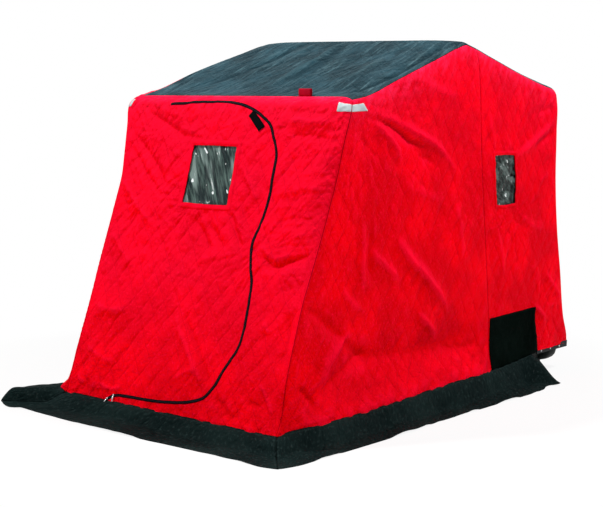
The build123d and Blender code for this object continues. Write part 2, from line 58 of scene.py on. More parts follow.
# ---- Curves and fields
def spline(knots, points, t):
    """A smooth curve through given points, one per knot, read at t."""
    k = np.asarray(knots, float)
    p = np.asarray(points, float)
    p = p[:, None] if p.ndim == 1 else p
    slope = np.gradient(p, k, axis=0)
    t = np.clip(np.atleast_1d(t), k[0], k[-1])
    i = np.clip(np.searchsorted(k, t, side="right") - 1, 0, len(k) - 2)
    w = (k[i + 1] - k[i])[:, None]
    s = (t[:, None] - k[i][:, None]) / w
    out = ((2 * s**3 - 3 * s**2 + 1) * p[i] + (s**3 - 2 * s**2 + s) * w * slope[i]
           + (3 * s**2 - 2 * s**3) * p[i + 1] + (s**3 - s**2) * w * slope[i + 1])
    return out[:, 0] if out.shape[1] == 1 else out


def run_along(line):
    """The length run along a line of points, at each of them."""
    return np.r_[0, np.cumsum(np.linalg.norm(np.diff(line, axis=0), axis=1))]


def at_runs(t, run, line):
    """A line's points at other lengths along it, by its own lengths at its points."""
    return np.stack([np.interp(t, run, line[:, c]) for c in range(line.shape[1])], 1)


def through(points, count):
    """A smooth curve through given points, evenly spaced."""
    p = np.asarray(points, float)
    knots = run_along(p)
    fine = spline(knots, p, np.linspace(0, knots[-1], 40 * len(p)))
    run = run_along(fine)
    return at_runs(np.linspace(0, run[-1], count), run, fine)


def ease(x):
    x = np.clip(x, 0, 1)
    return x * x * (3 - 2 * x)


def noise(a, b, cell, seed):
    """Smooth noise from -1 to 1 over a plane."""
    rng = np.random.default_rng(seed)
    lattice = rng.uniform(-1, 1, (64, 64))
    x, y = np.asarray(a) / cell + 31.3, np.asarray(b) / cell + 17.9
    i, j = np.floor(x).astype(int), np.floor(y).astype(int)
    u, v = x - i, y - j
    u, v = u**3 * (u * (6 * u - 15) + 10), v**3 * (v * (6 * v - 15) + 10)
    i, j, i1, j1 = i % 64, j % 64, (i + 1) % 64, (j + 1) % 64
    return ((lattice[i, j] * (1 - u) + lattice[i1, j] * u) * (1 - v)
            + (lattice[i, j1] * (1 - u) + lattice[i1, j1] * u) * v)


def crumple(a, b, cell, seed, stretch=1.0, turn=0.0):
    """Creases like those of slack cloth: rounded fields between sharp valleys, stretched one way."""
    c, s = math.cos(turn), math.sin(turn)
    p, q = (a * c + b * s) / stretch, b * c - a * s
    total = 0
    for k in range(3):
        size = cell / 1.9**k
        p2 = p + 0.35 * size * noise(p, q, size * 2.3, seed + 50 + k)
        total = total + (np.abs(noise(p2, q, size, seed + k)) - 0.33) / 1.7**k
    return total


def to_line(a, b, line):
    """Distance to a line of points, the side of it, and its nearest place: its share of the run, and where."""
    steps = run_along(line)
    best = np.full(np.shape(a), 1e9)
    found = [np.zeros(np.shape(a)) for _ in range(4)]
    for k in range(len(line) - 1):
        start, run = line[k], line[k + 1] - line[k]
        length = math.hypot(*run)
        if length == 0:
            continue
        t = np.clip(((a - start[0]) * run[0] + (b - start[1]) * run[1]) / length**2, 0, 1)
        x, y = a - start[0] - t * run[0], b - start[1] - t * run[1]
        d = np.hypot(x, y)
        near = d < best
        best = np.where(near, d, best)
        here = (np.sign(run[0] * y - run[1] * x), (steps[k] + t * length) / steps[-1],
                start[0] + t * run[0], start[1] + t * run[1])
        found = [np.where(near, new, old) for new, old in zip(here, found)]
    return best, *found


def inside(a, b, outline):
    """True for the points inside a closed outline."""
    odd = np.zeros(np.shape(a), bool)
    for (x0, y0), (x1, y1) in zip(outline, np.roll(outline, -1, axis=0)):
        if y0 == y1:
            continue
        cross = ((y0 > b) != (y1 > b)) & (a < (x1 - x0) * (b - y0) / (y1 - y0) + x0)
        odd ^= cross
    return odd


# ---- Quilting
QUILT_STEP = 0.088
QUILT_ANGLE = math.radians(34)    # of a stitch line's normal from the horizontal


def quilt_place(a, b, seed):
    """Where a point lies on the diamond grid of stitch lines, in cells."""
    a2 = a + 0.006 * noise(a, b, 0.11, seed) + 0.004 * noise(a, b, 0.045, seed + 1)
    b2 = b + 0.006 * noise(a, b, 0.12, seed + 2) + 0.004 * noise(a, b, 0.05, seed + 3)
    c, s = math.cos(QUILT_ANGLE), math.sin(QUILT_ANGLE)
    return (a2 * c + b2 * s) / QUILT_STEP, (a2 * c - b2 * s) / QUILT_STEP


def puff(place):
    """How full the filling stands between the stitch lines, from 0 to 1."""
    return np.sqrt(np.abs(np.sin(math.pi * place[0]) * np.sin(math.pi * place[1])) + 1e-4)


# ---- Panels
NEAR_EDGE = np.array([0, 0.002, 0.0045, 0.008, 0.013])
RELIEF = 0.004                    # how high a crest stands over the cloth round it where the painted highlight on it is full; the painted shade in the valleys is scaled the same way
FOLD_GAIN = 1.6                   # on the heights given for folds
FOLD_FADE = 0.3                   # the share of a fold's length over which each end fades
SEAM_HOLD = 0.028                 # how far from a seam its tension still holds the folds down
CROWN_REACH = 0.07                # how far below a panel's top seam the painted highlight reaches
SHELL_MIDDLE, SHELL_REACH = np.array([0, 1.45, 0.9]), np.array([0.74, 1.4, 1.05])  # half its size


def shares(length, cell):
    """Shares of an edge for a grid's lines: even cells, with finer ones beside the seams."""
    first, last = NEAR_EDGE[-1] + cell * 0.6, length - NEAR_EDGE[-1] - cell * 0.6
    middle = np.linspace(first, last, max(2, int(round((last - first) / cell)) + 1))
    return np.r_[NEAR_EDGE, middle, (length - NEAR_EDGE)[::-1]] / length


def coons(bottom, right, top, left, u, v):
    """The grid of points that spans four edges, read at the shares u and v."""
    u, v = u[None, :, None], v[:, None, None]
    ruled = (1 - v) * bottom[None] + v * top[None] + (1 - u) * left[:, None] + u * right[:, None]
    corners = ((1 - u) * (1 - v) * bottom[0] + u * (1 - v) * bottom[-1]
               + (1 - u) * v * top[0] + u * v * top[-1])
    return ruled - corners


def read_grid(grid, j, i):
    """A grid's values at fractional rows and columns."""
    j0 = np.clip(np.floor(j).astype(int), 0, grid.shape[0] - 2)
    i0 = np.clip(np.floor(i).astype(int), 0, grid.shape[1] - 2)
    s, t = j - j0, i - i0
    if grid.ndim == 3:
        s, t = s[..., None], t[..., None]
    return ((grid[j0, i0] * (1 - t) + grid[j0, i0 + 1] * t) * (1 - s)
            + (grid[j0 + 1, i0] * (1 - t) + grid[j0 + 1, i0 + 1] * t) * s)


def grid_quads(rows, columns):
    q = np.arange(rows * columns).reshape(rows, columns)
    return np.stack([q[:-1, :-1], q[:-1, 1:], q[1:, 1:], q[1:, :-1]], 2).reshape(-1, 4)


def ring_quads(rings, count, closed=False):
    """Faces between rings of count points each. closed joins the last ring to the first."""
    return [[k * count + j, k * count + (j + 1) % count, (k + 1) % rings * count + (j + 1) % count,
             (k + 1) % rings * count + j] for k in range(rings if closed else rings - 1) for j in range(count)]


def ring_caps(rings, count):
    """The faces that close the first and the last ring."""
    return [list(range(count))[::-1], list(range((rings - 1) * count, rings * count))]


class Panel:
    """A cloth panel between seams: a grid of points, its outward normals, and its flat coordinates a and b."""

    def __init__(self, base, axes, outward, a, b, seams=(1, 1, 1, 1), rise=0.004, roll=0.012, seed=1):
        self.base = base.copy()
        self.axes = [np.asarray(x, float) for x in axes]
        self.a, self.b = a.copy(), b.copy()
        du, dv = np.gradient(base, axis=1), np.gradient(base, axis=0)
        facing = np.cross(du, dv)
        self.flip = float(np.sum(facing @ np.asarray(outward, float))) < 0
        self.normals0 = self.grid_normals(base)
        across = np.linalg.norm(np.diff(base, axis=1), axis=2)
        up = np.linalg.norm(np.diff(base, axis=0), axis=2)
        left = np.hstack([np.zeros((base.shape[0], 1)), np.cumsum(across, axis=1)])
        low = np.vstack([np.zeros((1, base.shape[1])), np.cumsum(up, axis=0)])
        self.along = (left, low)
        self.to_edge = [left, left[:, -1:] - left, low, low[-1:, :] - low]
        self.flat_size = (float(np.median(left[:, -1])), float(np.median(low[-1])))
        self.area = float(np.sum(across[:-1] * up[:, :-1]))
        sewn = [d for d, s in zip(self.to_edge, seams) if s]
        edge, self.open = 1.0, 1.0
        for d in sewn:
            edge = edge * np.sqrt(1 - (1 - np.clip(d / roll, 0, 1)) ** 2)
            self.open = self.open * (1 - np.exp(-((d / SEAM_HOLD) ** 2)))
        self.seam = np.minimum.reduce(self.to_edge)
        self.height = rise * edge
        self.quilt = quilt_place(self.a, self.b, seed)
        self.cuts = []

    def grid_normals(self, p):
        n = np.cross(np.gradient(p, axis=1), np.gradient(p, axis=0))
        n /= np.linalg.norm(n, axis=2, keepdims=True) + 1e-12
        return -n if self.flip else n

    def add(self, h):
        self.height = self.height + h * self.open

    def crumple(self, height, cell, seed, stretch=1.0, turn=0.0):
        self.add(height * crumple(self.a, self.b, cell, seed, stretch, turn))

    def rays(self, centre, pitch, reach, height, seed):
        """Creases of tension that run out from one point, that pitch apart at that reach."""
        x, y = self.a - centre[0], self.b - centre[1]
        r = np.hypot(x, y)
        field = crumple(np.arctan2(y, x) * reach, r * 0.2, pitch, seed)
        self.add(height * (field * np.exp(-((r / reach) ** 2)) * ease(r / (0.2 * reach))))

    def fold(self, points, height, width, lean=0.0):
        """A crest of that height along a given line, or a valley where it is negative, that fades at its
        ends. lean makes its left side, seen along the line, narrower."""
        d, side, share, _, _ = to_line(self.a, self.b, through(points, 7 * len(points)))
        q = d / (width * (1 - lean * side))
        profile = np.exp(-1.5 * (np.sqrt(q * q + 0.05) - 0.2236))
        self.add(FOLD_GAIN * height * ease(share / FOLD_FADE) * ease((1 - share) / FOLD_FADE) * profile)

    def folds(self, table, gain=1.0, shift=0.0):
        """Lays a table's folds: each one's height, its width, and the a and b of the places it runs through."""
        for height, width, *places in table:
            points = np.reshape(places, (-1, 2))
            points[:, 1] -= shift * np.sin(5 * points[:, 0])
            self.fold(points, height * gain, width)

    def puckers(self, edge, depth, pitch, reach, seed, slant=0.0):
        """Small gathers that a tight row of stitches pulls into the cloth beside one edge."""
        d = self.to_edge[edge]
        s = (self.along[1] if edge < 2 else self.along[0]) + slant * d
        phase = s / pitch + 0.9 * noise(s, d * 0.3, pitch * 2.6, seed)
        near = np.exp(-d / reach) * (1 - np.exp(-((d / 0.006) ** 2)))
        strength = 0.65 + 0.5 * noise(s, d, pitch * 4, seed + 1)
        self.height = self.height + depth * np.sin(2 * math.pi * phase) * near * strength * self.open**0.25

    def settle(self):
        """Sets the cloth's outer surface from all that was added, and the way into the cloth at each point."""
        self.outer = self.base + self.normals0 * self.height[..., None]
        self.normals = self.grid_normals(self.outer)
        q = (self.outer - SHELL_MIDDLE) / SHELL_REACH
        corner = q * np.linalg.norm(q, axis=2, keepdims=True) ** 3
        corner /= np.linalg.norm(corner, axis=2, keepdims=True)
        near = np.exp(-((self.seam / 0.015) ** 2))[..., None]
        self.inward = self.normals * (1 - near) + corner * near * 1.15
        slack = self.height
        for _ in range(8):
            slack = (slack + np.roll(slack, 1, 0) + np.roll(slack, -1, 0)) / 3
            slack = (slack + np.roll(slack, 1, 1) + np.roll(slack, -1, 1)) / 3
        self.relief = np.clip((self.height - slack) / RELIEF, -1, 1) * self.open
        self.flat = (self.a.copy(), self.b.copy())
        self.cloth, self.facing = self.outer.copy(), self.normals.copy()
        return self

    def place(self, a, b):
        """The point and the outward normal of the cloth at flat coordinates."""
        a, b = np.atleast_1d(a).astype(float), np.atleast_1d(b).astype(float)
        last_j, last_i = self.cloth.shape[0] - 1, self.cloth.shape[1] - 1
        j, i = np.full(a.shape, last_j / 2), np.full(a.shape, last_i / 2)
        for _ in range(14):
            (here_a, aj, ai), (here_b, bj, bi) = (
                (read_grid(g, j, i), read_grid(g, j + 0.5, i) - read_grid(g, j - 0.5, i),
                 read_grid(g, j, i + 0.5) - read_grid(g, j, i - 0.5)) for g in self.flat)
            scale = ai * bj - aj * bi
            da, db = a - here_a, b - here_b
            i = np.clip(i + (da * bj - db * aj) / scale, 0, last_i)
            j = np.clip(j + (db * ai - da * bi) / scale, 0, last_j)
        return read_grid(self.cloth, j, i), read_grid(self.facing, j, i)

    def cut(self, outline):
        """Splits the grid along a closed outline: moves the nearest points onto it, and marks the sides."""
        is_in = inside(self.a, self.b, outline)
        closed = np.vstack([outline, outline[:1]])
        d = to_line(self.a, self.b, closed)[0]
        on = np.zeros(self.a.shape, bool)
        for x, y in (((slice(0, -1), slice(None)), (slice(1, None), slice(None))),
                     ((slice(None), slice(0, -1)), (slice(None), slice(1, None)))):
            crossing = is_in[x] != is_in[y]
            first = crossing & (d[x] <= d[y])
            on[x] |= first
            on[y] |= crossing & ~first
        for other in self.cuts:
            on &= other != 0
        pa, pb = self.a[on], self.b[on]
        qa, qb = to_line(pa, pb, closed)[3:]
        self.outer[on] += (qa - pa)[:, None] * self.axes[0] + (qb - pb)[:, None] * self.axes[1]
        self.a[on], self.b[on] = qa, qb
        side = np.where(is_in, 1, -1)
        side[on] = 0
        self.cuts.append(side)

    def faces(self, wanted=()):
        """The grid's faces. wanted gives, for each cut, 1 to keep its inside or -1 to keep its outside."""
        quads, loose = grid_quads(*self.a.shape), []
        for side, want in zip(self.cuts, wanted):
            s = side.ravel()[quads]
            mixed = (s.max(1) > 0) & (s.min(1) < 0)
            for q, v in zip(quads[mixed], s[mixed]):
                halves = ((q[[0, 1, 2]], v[[0, 1, 2]]), (q[[0, 2, 3]], v[[0, 2, 3]]))
                if not (v[0] == 0 and v[2] == 0):
                    halves = ((q[[0, 1, 3]], v[[0, 1, 3]]), (q[[1, 2, 3]], v[[1, 2, 3]]))
                loose += [h for h, w in halves if w.sum() * want > 0]
            total = s.sum(1) * want
            flat = (s == 0).all(1)
            quads = quads[~mixed & ((total > 0) | (flat & (want < 0)))]
        return [tuple(int(k) for k in f) for f in quads] + [tuple(int(k) for k in f) for f in loose]


def closed_sheet(points, normals, faces, thickness):
    """A sheet of cloth as a closed mesh: its outer face, its inner face, and the edge between. Also gives, for
    each of its points, the one it comes from."""
    used = np.unique(np.concatenate([np.asarray(f) for f in faces]))
    renumber = {int(v): k for k, v in enumerate(used)}
    n = len(used)
    front_faces = [[renumber[int(k)] for k in f] for f in faces]
    edges = {}
    for f in front_faces:
        for x, y in zip(f, f[1:] + f[:1]):
            if not edges.pop((y, x), False):
                edges[x, y] = True
    all_faces = front_faces + [[k + n for k in reversed(f)] for f in front_faces]
    all_faces += [[y, x, x + n, y + n] for x, y in edges]
    return np.vstack([points[used], points[used] - normals[used] * thickness]), all_faces, np.r_[used, used]


def grid_sheet(points, normals, shape, thickness):
    """A grid of points as a closed sheet whose outer face looks along the normals."""
    quads = grid_quads(*shape)
    if np.cross(points[1] - points[0], points[shape[1]] - points[0]) @ normals[0] < 0:
        quads = quads[:, ::-1]
    return closed_sheet(points, normals, [tuple(f) for f in quads], thickness)


def piece(name, points, faces, material, slot, nodes=(), layers=None, normals=None, smooth=True):
    """A mesh, moved to the row frame, as a piece. layers are values or pairs for its points, by name."""
    mesh = bpy.data.meshes.new(name)
    mesh.from_pydata((np.asarray(points, float) - [0, MIDDLE_Y, 0]).tolist(), [],
                     [list(map(int, f)) for f in faces])
    loops = np.zeros(len(mesh.loops), np.int64)
    mesh.loops.foreach_get("vertex_index", loops)
    for key, values in (layers or {}).items():
        values = np.asarray(values, np.float32)
        if values.ndim == 2:
            mesh.uv_layers.new(name=key).data.foreach_set("uv", values[loops].ravel())
        else:
            mesh.attributes.new(key, "FLOAT", "POINT").data.foreach_set("value", values)
    mesh.polygons.foreach_set("use_smooth", np.full(len(mesh.polygons), smooth))
    if normals is not None:
        mesh.normals_split_custom_set_from_vertices(normals.tolist())
    mesh.update()
    mesh.materials.append(material)
    obj = bpy.data.objects.new(name, mesh)
    bpy.context.scene.collection.objects.link(obj)
    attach(obj, "root")
    if nodes:
        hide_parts(*nodes)
    return obj


def panel_piece(panel, name, node_name, slot, material, held="stretched", wanted=(), area=None, flat=None):
    """One cloth piece from a panel, or from the part of it inside or outside its cuts."""
    points, inward = panel.outer.reshape(-1, 3), panel.inward.reshape(-1, 3)
    verts, faces, origin = closed_sheet(points, inward, panel.faces(wanted), CLOTH)
    if panel.flip:
        faces = [f[::-1] for f in faces]
    normals = panel.normals.reshape(-1, 3)[origin]
    normals[len(normals) // 2:] *= -1
    obj = piece(name, verts, faces, material, slot, [node_name], {
        "metres": np.stack([panel.a.ravel(), panel.b.ravel()], 1)[origin],
        "quilt": np.stack([q.ravel() for q in panel.quilt], 1)[origin], "seam": panel.seam.ravel()[origin],
        "relief": panel.relief.ravel()[origin],
        "crown": np.exp(-panel.to_edge[3].ravel()[origin] / CROWN_REACH),
    }, normals)
    flat or panel.flat_size
    (area or min(panel.area,
             panel.flat_size[0] * panel.flat_size[1]))


# ---- Seams: the lines the cloth is sewn along, as the cloth's tension pulls them
BOW_ROUND = 0.035                 # the front cloth's bend over the front bow
ROOF_SLOPE = math.atan2(RIDGE[1] - HEAD[1], RIDGE[0] - HEAD[0])
HEAD_TURN = math.pi / 2 - LEAN - ROOF_SLOPE
HEAD_START = SLOPE - BOW_ROUND * math.tan(HEAD_TURN / 2)
HEAD_END = HEAD_START + BOW_ROUND * HEAD_TURN
WRAP = 0.082                      # how far the front cloth reaches on behind the bow
FRONT_TOP = HEAD_END + WRAP


def front_profile(s):
    """Y and Z of the front cloth, that far along it from its hem, over the front bow."""
    s = np.atleast_1d(s)
    straight = np.minimum(s, HEAD_START)
    y, z = straight * math.sin(LEAN), FOOT_Z + straight * math.cos(LEAN)
    angle = LEAN + np.clip(s - HEAD_START, 0, HEAD_END - HEAD_START) / BOW_ROUND
    y = y + BOW_ROUND * (math.cos(LEAN) - np.cos(angle))
    z = z + BOW_ROUND * (np.sin(angle) - math.sin(LEAN))
    past = np.maximum(s - HEAD_END, 0)
    return y + past * math.cos(ROOF_SLOPE), z + past * math.sin(ROOF_SLOPE)


RIGHT_FRONT_SEAM = np.array([     # length up the cloth, X, Y, Z
    (-0.010, 0.753, -0.020, 0.078), (0.040, 0.748, 0.006, 0.120), (0.091, 0.744, 0.028, 0.166),
    (0.241, 0.742, 0.057, 0.310), (0.466, 0.741, 0.120, 0.524), (0.654, 0.740, 0.182, 0.703),
    (0.804, 0.740, 0.245, 0.846), (0.954, 0.740, 0.307, 0.989), (1.123, 0.740, 0.371, 1.150),
    (1.272, 0.740, 0.424, 1.292), (1.441, 0.741, 0.470, 1.453), (1.560, 0.741, 0.512, 1.570),
    (1.620, 0.738, 0.531, 1.622), (1.665, 0.733, 0.538, 1.648), (FRONT_TOP, 0.719, 0.557, 1.667),
])
LEFT_FRONT_SEAM = np.array([
    (-0.010, -0.712, -0.004, 0.070), (0.110, -0.711, 0.033, 0.185), (0.330, -0.706, 0.101, 0.394),
    (0.500, -0.700, 0.153, 0.556), (0.720, -0.696, 0.219, 0.766), (0.900, -0.689, 0.273, 0.938),
    (1.050, -0.685, 0.318, 1.081), (1.200, -0.684, 0.363, 1.224), (1.310, -0.702, 0.396, 1.328),
    (1.420, -0.722, 0.429, 1.433), (1.510, -0.739, 0.456, 1.518), (1.580, -0.755, 0.476, 1.587),
    (1.620, -0.757, 0.489, 1.620), (1.655, -0.744, 0.508, 1.646), (FRONT_TOP, -0.719, 0.557, 1.667),
])
ROOF_SEAM = np.array([            # Y, X, Z of the right one
    (0.557, 0.719, 1.667), (0.666, 0.719, 1.684), (0.972, 0.719, 1.784), (1.349, 0.719, 1.908),
    (1.560, 0.719, 1.977), (1.612, 0.719, 1.989), (1.665, 0.719, 1.981), (1.877, 0.719, 1.933),
    (2.234, 0.719, 1.850), (2.550, 0.719, 1.788), (2.660, 0.719, 1.771),
])
RIDGE_Y, REAR_Y, SEAM_TOP_Y = 1.612, 2.660, 1.705
SIDE_SEAM = np.array([            # share of the height, X, Y, Z
    (0.000, 0.757, 1.944, 0.117), (0.040, 0.748, 1.945, 0.190), (0.080, 0.743, 1.943, 0.265),
    (0.164, 0.742, 1.934, 0.422), (0.260, 0.742, 1.911, 0.600), (0.395, 0.742, 1.870, 0.850),
    (0.557, 0.742, 1.820, 1.150), (0.740, 0.742, 1.772, 1.489), (0.854, 0.742, 1.750, 1.700),
    (0.935, 0.742, 1.726, 1.850), (0.968, 0.738, 1.717, 1.911), (0.987, 0.731, 1.710, 1.947),
    (1.000, 0.719, SEAM_TOP_Y, 1.9722),
])
REAR_SEAM = np.array([
    (0.000, 0.743, 2.946, 0.164), (0.030, 0.743, 2.942, 0.205), (0.125, 0.742, 2.886, 0.341),
    (0.312, 0.742, 2.815, 0.643), (0.472, 0.742, 2.750, 0.901), (0.667, 0.742, 2.700, 1.215),
    (0.860, 0.742, 2.684, 1.524), (0.962, 0.741, 2.672, 1.702), (0.985, 0.734, 2.667, 1.746),
    (1.000, 0.719, REAR_Y, 1.771),
])
HEM = np.array([(-0.02, 0.086), (0.63, 0.087), (1.0, 0.096), (1.49, 0.114), (2.004, 0.117), (2.3, 0.130),
                (2.46, 0.146), (2.55, 0.162), (2.95, 0.164)])


def read(table, t):
    return spline(table[:, 0], table[:, 1:], t)


LEFT_SEAM_RISE = 0.026            # the left seam stands this much fuller between the front bow and the ridge
BOW_BEND_X, BOW_BEND = 0.682, 0.06  # where the bows' bends start, and the cloth's radius over them


def roof_seam(y, side=1):
    x_z = read(ROOF_SEAM, y)
    share = np.clip((y - ROOF_SEAM[0, 0]) / (RIDGE_Y - ROOF_SEAM[0, 0]), 0, 1)
    rise = LEFT_SEAM_RISE * np.sin(math.pi * share**0.7) if side < 0 else 0
    return np.stack([side * x_z[:, 0], y, x_z[:, 1] + rise], 1)


def bow_drop(x):
    """How far the cloth bends down over a bow's end."""
    over = np.clip((np.abs(x) - BOW_BEND_X) / BOW_BEND, 0, 0.99)
    return BOW_BEND * (1 - np.sqrt(1 - over**2))


HEM_DROP = 0.010                  # the front cloth's hem hangs this much below the frame's


def front_length(v):
    return v * (FRONT_TOP + HEM_DROP) - HEM_DROP


def front_base(u, v):
    """The front cloth, from its hem over the front bow to the roof's seam."""
    s = front_length(v)
    left, right = read(LEFT_FRONT_SEAM, s), read(RIGHT_FRONT_SEAM, s)
    u3 = u[None, :, None]
    base = left[:, None] * (1 - u3) + right[:, None] * u3
    x = base[..., 0]
    y, z = front_profile(s)
    reach = 0.11
    near = np.minimum(np.abs(x - left[:, None, 0]), np.abs(x - right[:, None, 0])) / reach
    w = 1 - (1 - np.clip(near, 0, 1)) ** 2.2
    lift = 0.006 * x / 0.7 * ease((v[:, None] - 0.9) / 0.1)
    base[..., 1] += w * (y[:, None] - base[..., 1])
    base[..., 2] += w * (z[:, None] + lift - base[..., 2])
    return base


def cross_line(y, z, u, rise=0.0):
    x = (2 * u - 1) * ROOF_HALF
    return np.stack([x, np.full(len(u), y), z + rise * (1 - (np.abs(x) / ROOF_HALF) ** 6) - bow_drop(x)], 1)


def side_bases(side, cell):
    """The grids of one side's front and rear panels."""
    v = shares(1.7, cell)
    flip = np.array([side, 1, 1])
    lines = (read(RIGHT_FRONT_SEAM if side > 0 else LEFT_FRONT_SEAM, front_length(v)),
             read(SIDE_SEAM, v) * flip, read(REAR_SEAM, v) * flip)
    for fore, aft, length in zip(lines, lines[1:], (1.5, 1.1)):
        u = shares(length, cell)
        x, y = (fore[0, c] + u * (aft[0, c] - fore[0, c]) for c in (0, 1))
        bottom = np.stack([x, y, np.interp(y, *HEM.T)], 1)
        if fore is lines[0]:
            bottom[0], bottom[-1] = fore[0], aft[0]
        top = roof_seam(fore[-1, 1] + u * (aft[-1, 1] - fore[-1, 1]), side)
        yield coons(bottom, aft, top, fore, u, v)


# ---- Materials
WAVE = 0.31416                    # the scale at which a wave texture repeats after one metre


class Look:
    """The nodes of a material or of the world, with the tone and the bumps that are laid on so far."""

    def __init__(self, owner, tone=None):
        owner.use_nodes = True
        self.owner, self.tree = owner, owner.node_tree
        self.tone, self.surface = tone, None

    def feed(self, target, inputs):
        """Gives a node's inputs values, or links them to sockets."""
        for key, value in inputs.items():
            if isinstance(value, bpy.types.NodeSocket):
                self.tree.links.new(value, target.inputs[key])
            elif value is not None:
                target.inputs[key].default_value = value
        return target

    def node(self, kind, inputs=None, **settings):
        made = self.tree.nodes.new("ShaderNode" + kind)
        for key, value in settings.items():
            setattr(made, key, value)
        return self.feed(made, inputs or {})

    def calc(self, operation, *values):
        return self.node("Math", dict(enumerate(values)), operation=operation).outputs[0]

    def times(self, first, second):
        return self.calc("MULTIPLY", first, second)

    def ramp(self, value, low, high, to_low=0.0, to_high=1.0):
        return self.node("MapRange", {"Value": value, "From Min": low, "From Max": high, "To Min": to_low,
                                      "To Max": to_high}, interpolation_type="SMOOTHSTEP").outputs[0]

    def uv(self, name):
        return self.node("UVMap", uv_map=name).outputs[0]

    def stored(self, name):
        return self.node("Attribute", attribute_name=name).outputs["Fac"]

    def split(self, vector):
        return self.node("SeparateXYZ", {"Vector": vector}).outputs

    def waves(self, place, axis, period):
        return self.node("TexWave", {"Vector": place, "Scale": WAVE / period, "Distortion": 0.0},
                         wave_type="BANDS", bands_direction=axis).outputs["Fac"]

    def noise(self, place, scale, detail, rough=0.55, stretch=None, turn=0.0):
        if turn:
            place = self.node("Mapping", {"Vector": place, "Rotation": (0, 0, turn)}).outputs[0]
        if stretch:
            place = self.node("Mapping", {"Vector": place, "Scale": stretch}).outputs[0]
        return self.node("TexNoise", {"Vector": place, "Scale": scale, "Detail": detail,
                                      "Roughness": rough}).outputs["Fac"]

    def creases(self, place, scale, stretch, turn):
        """Sharp valleys between rounded fields, as in cloth that was crumpled and pulled flat again."""
        field = self.noise(place, scale, 1.5, 0.5, stretch, turn)
        return self.calc("ABSOLUTE", self.calc("SUBTRACT", field, 0.5))

    def tint(self, share, colour):
        """Lays a colour over the tone so far, by that share."""
        mix = self.node("Mix", {"Factor": share}, data_type="RGBA")
        first, second = (t if isinstance(t, bpy.types.NodeSocket) else (*t, 1) for t in (self.tone, colour))
        self.tone = self.feed(mix, {6: first, 7: second}).outputs[2]

    def dent(self, height, distance, strength):
        """Lays a bump over those so far."""
        self.surface = self.node("Bump", {"Height": height, "Distance": distance, "Strength": strength,
                                          "Normal": self.surface}).outputs[0]

    def finish(self, values):
        """Feeds the surface shader the tone, the bumps and what else is given."""
        self.feed(self.tree.nodes["Principled BSDF"],
                  {"Base Color": self.tone, "Normal": self.surface, **values})
        return self.owner


CROWN_HIGHLIGHT_TONE = (1.0, 0.022, 0.095)  # of the painted highlight on the cloth along the roof's seams
STITCH, SEAM_STITCH = 0.0042, 0.0045  # the stitches' lengths
STITCH_ROW = 0.0075               # from a seam to the row of stitches beside it


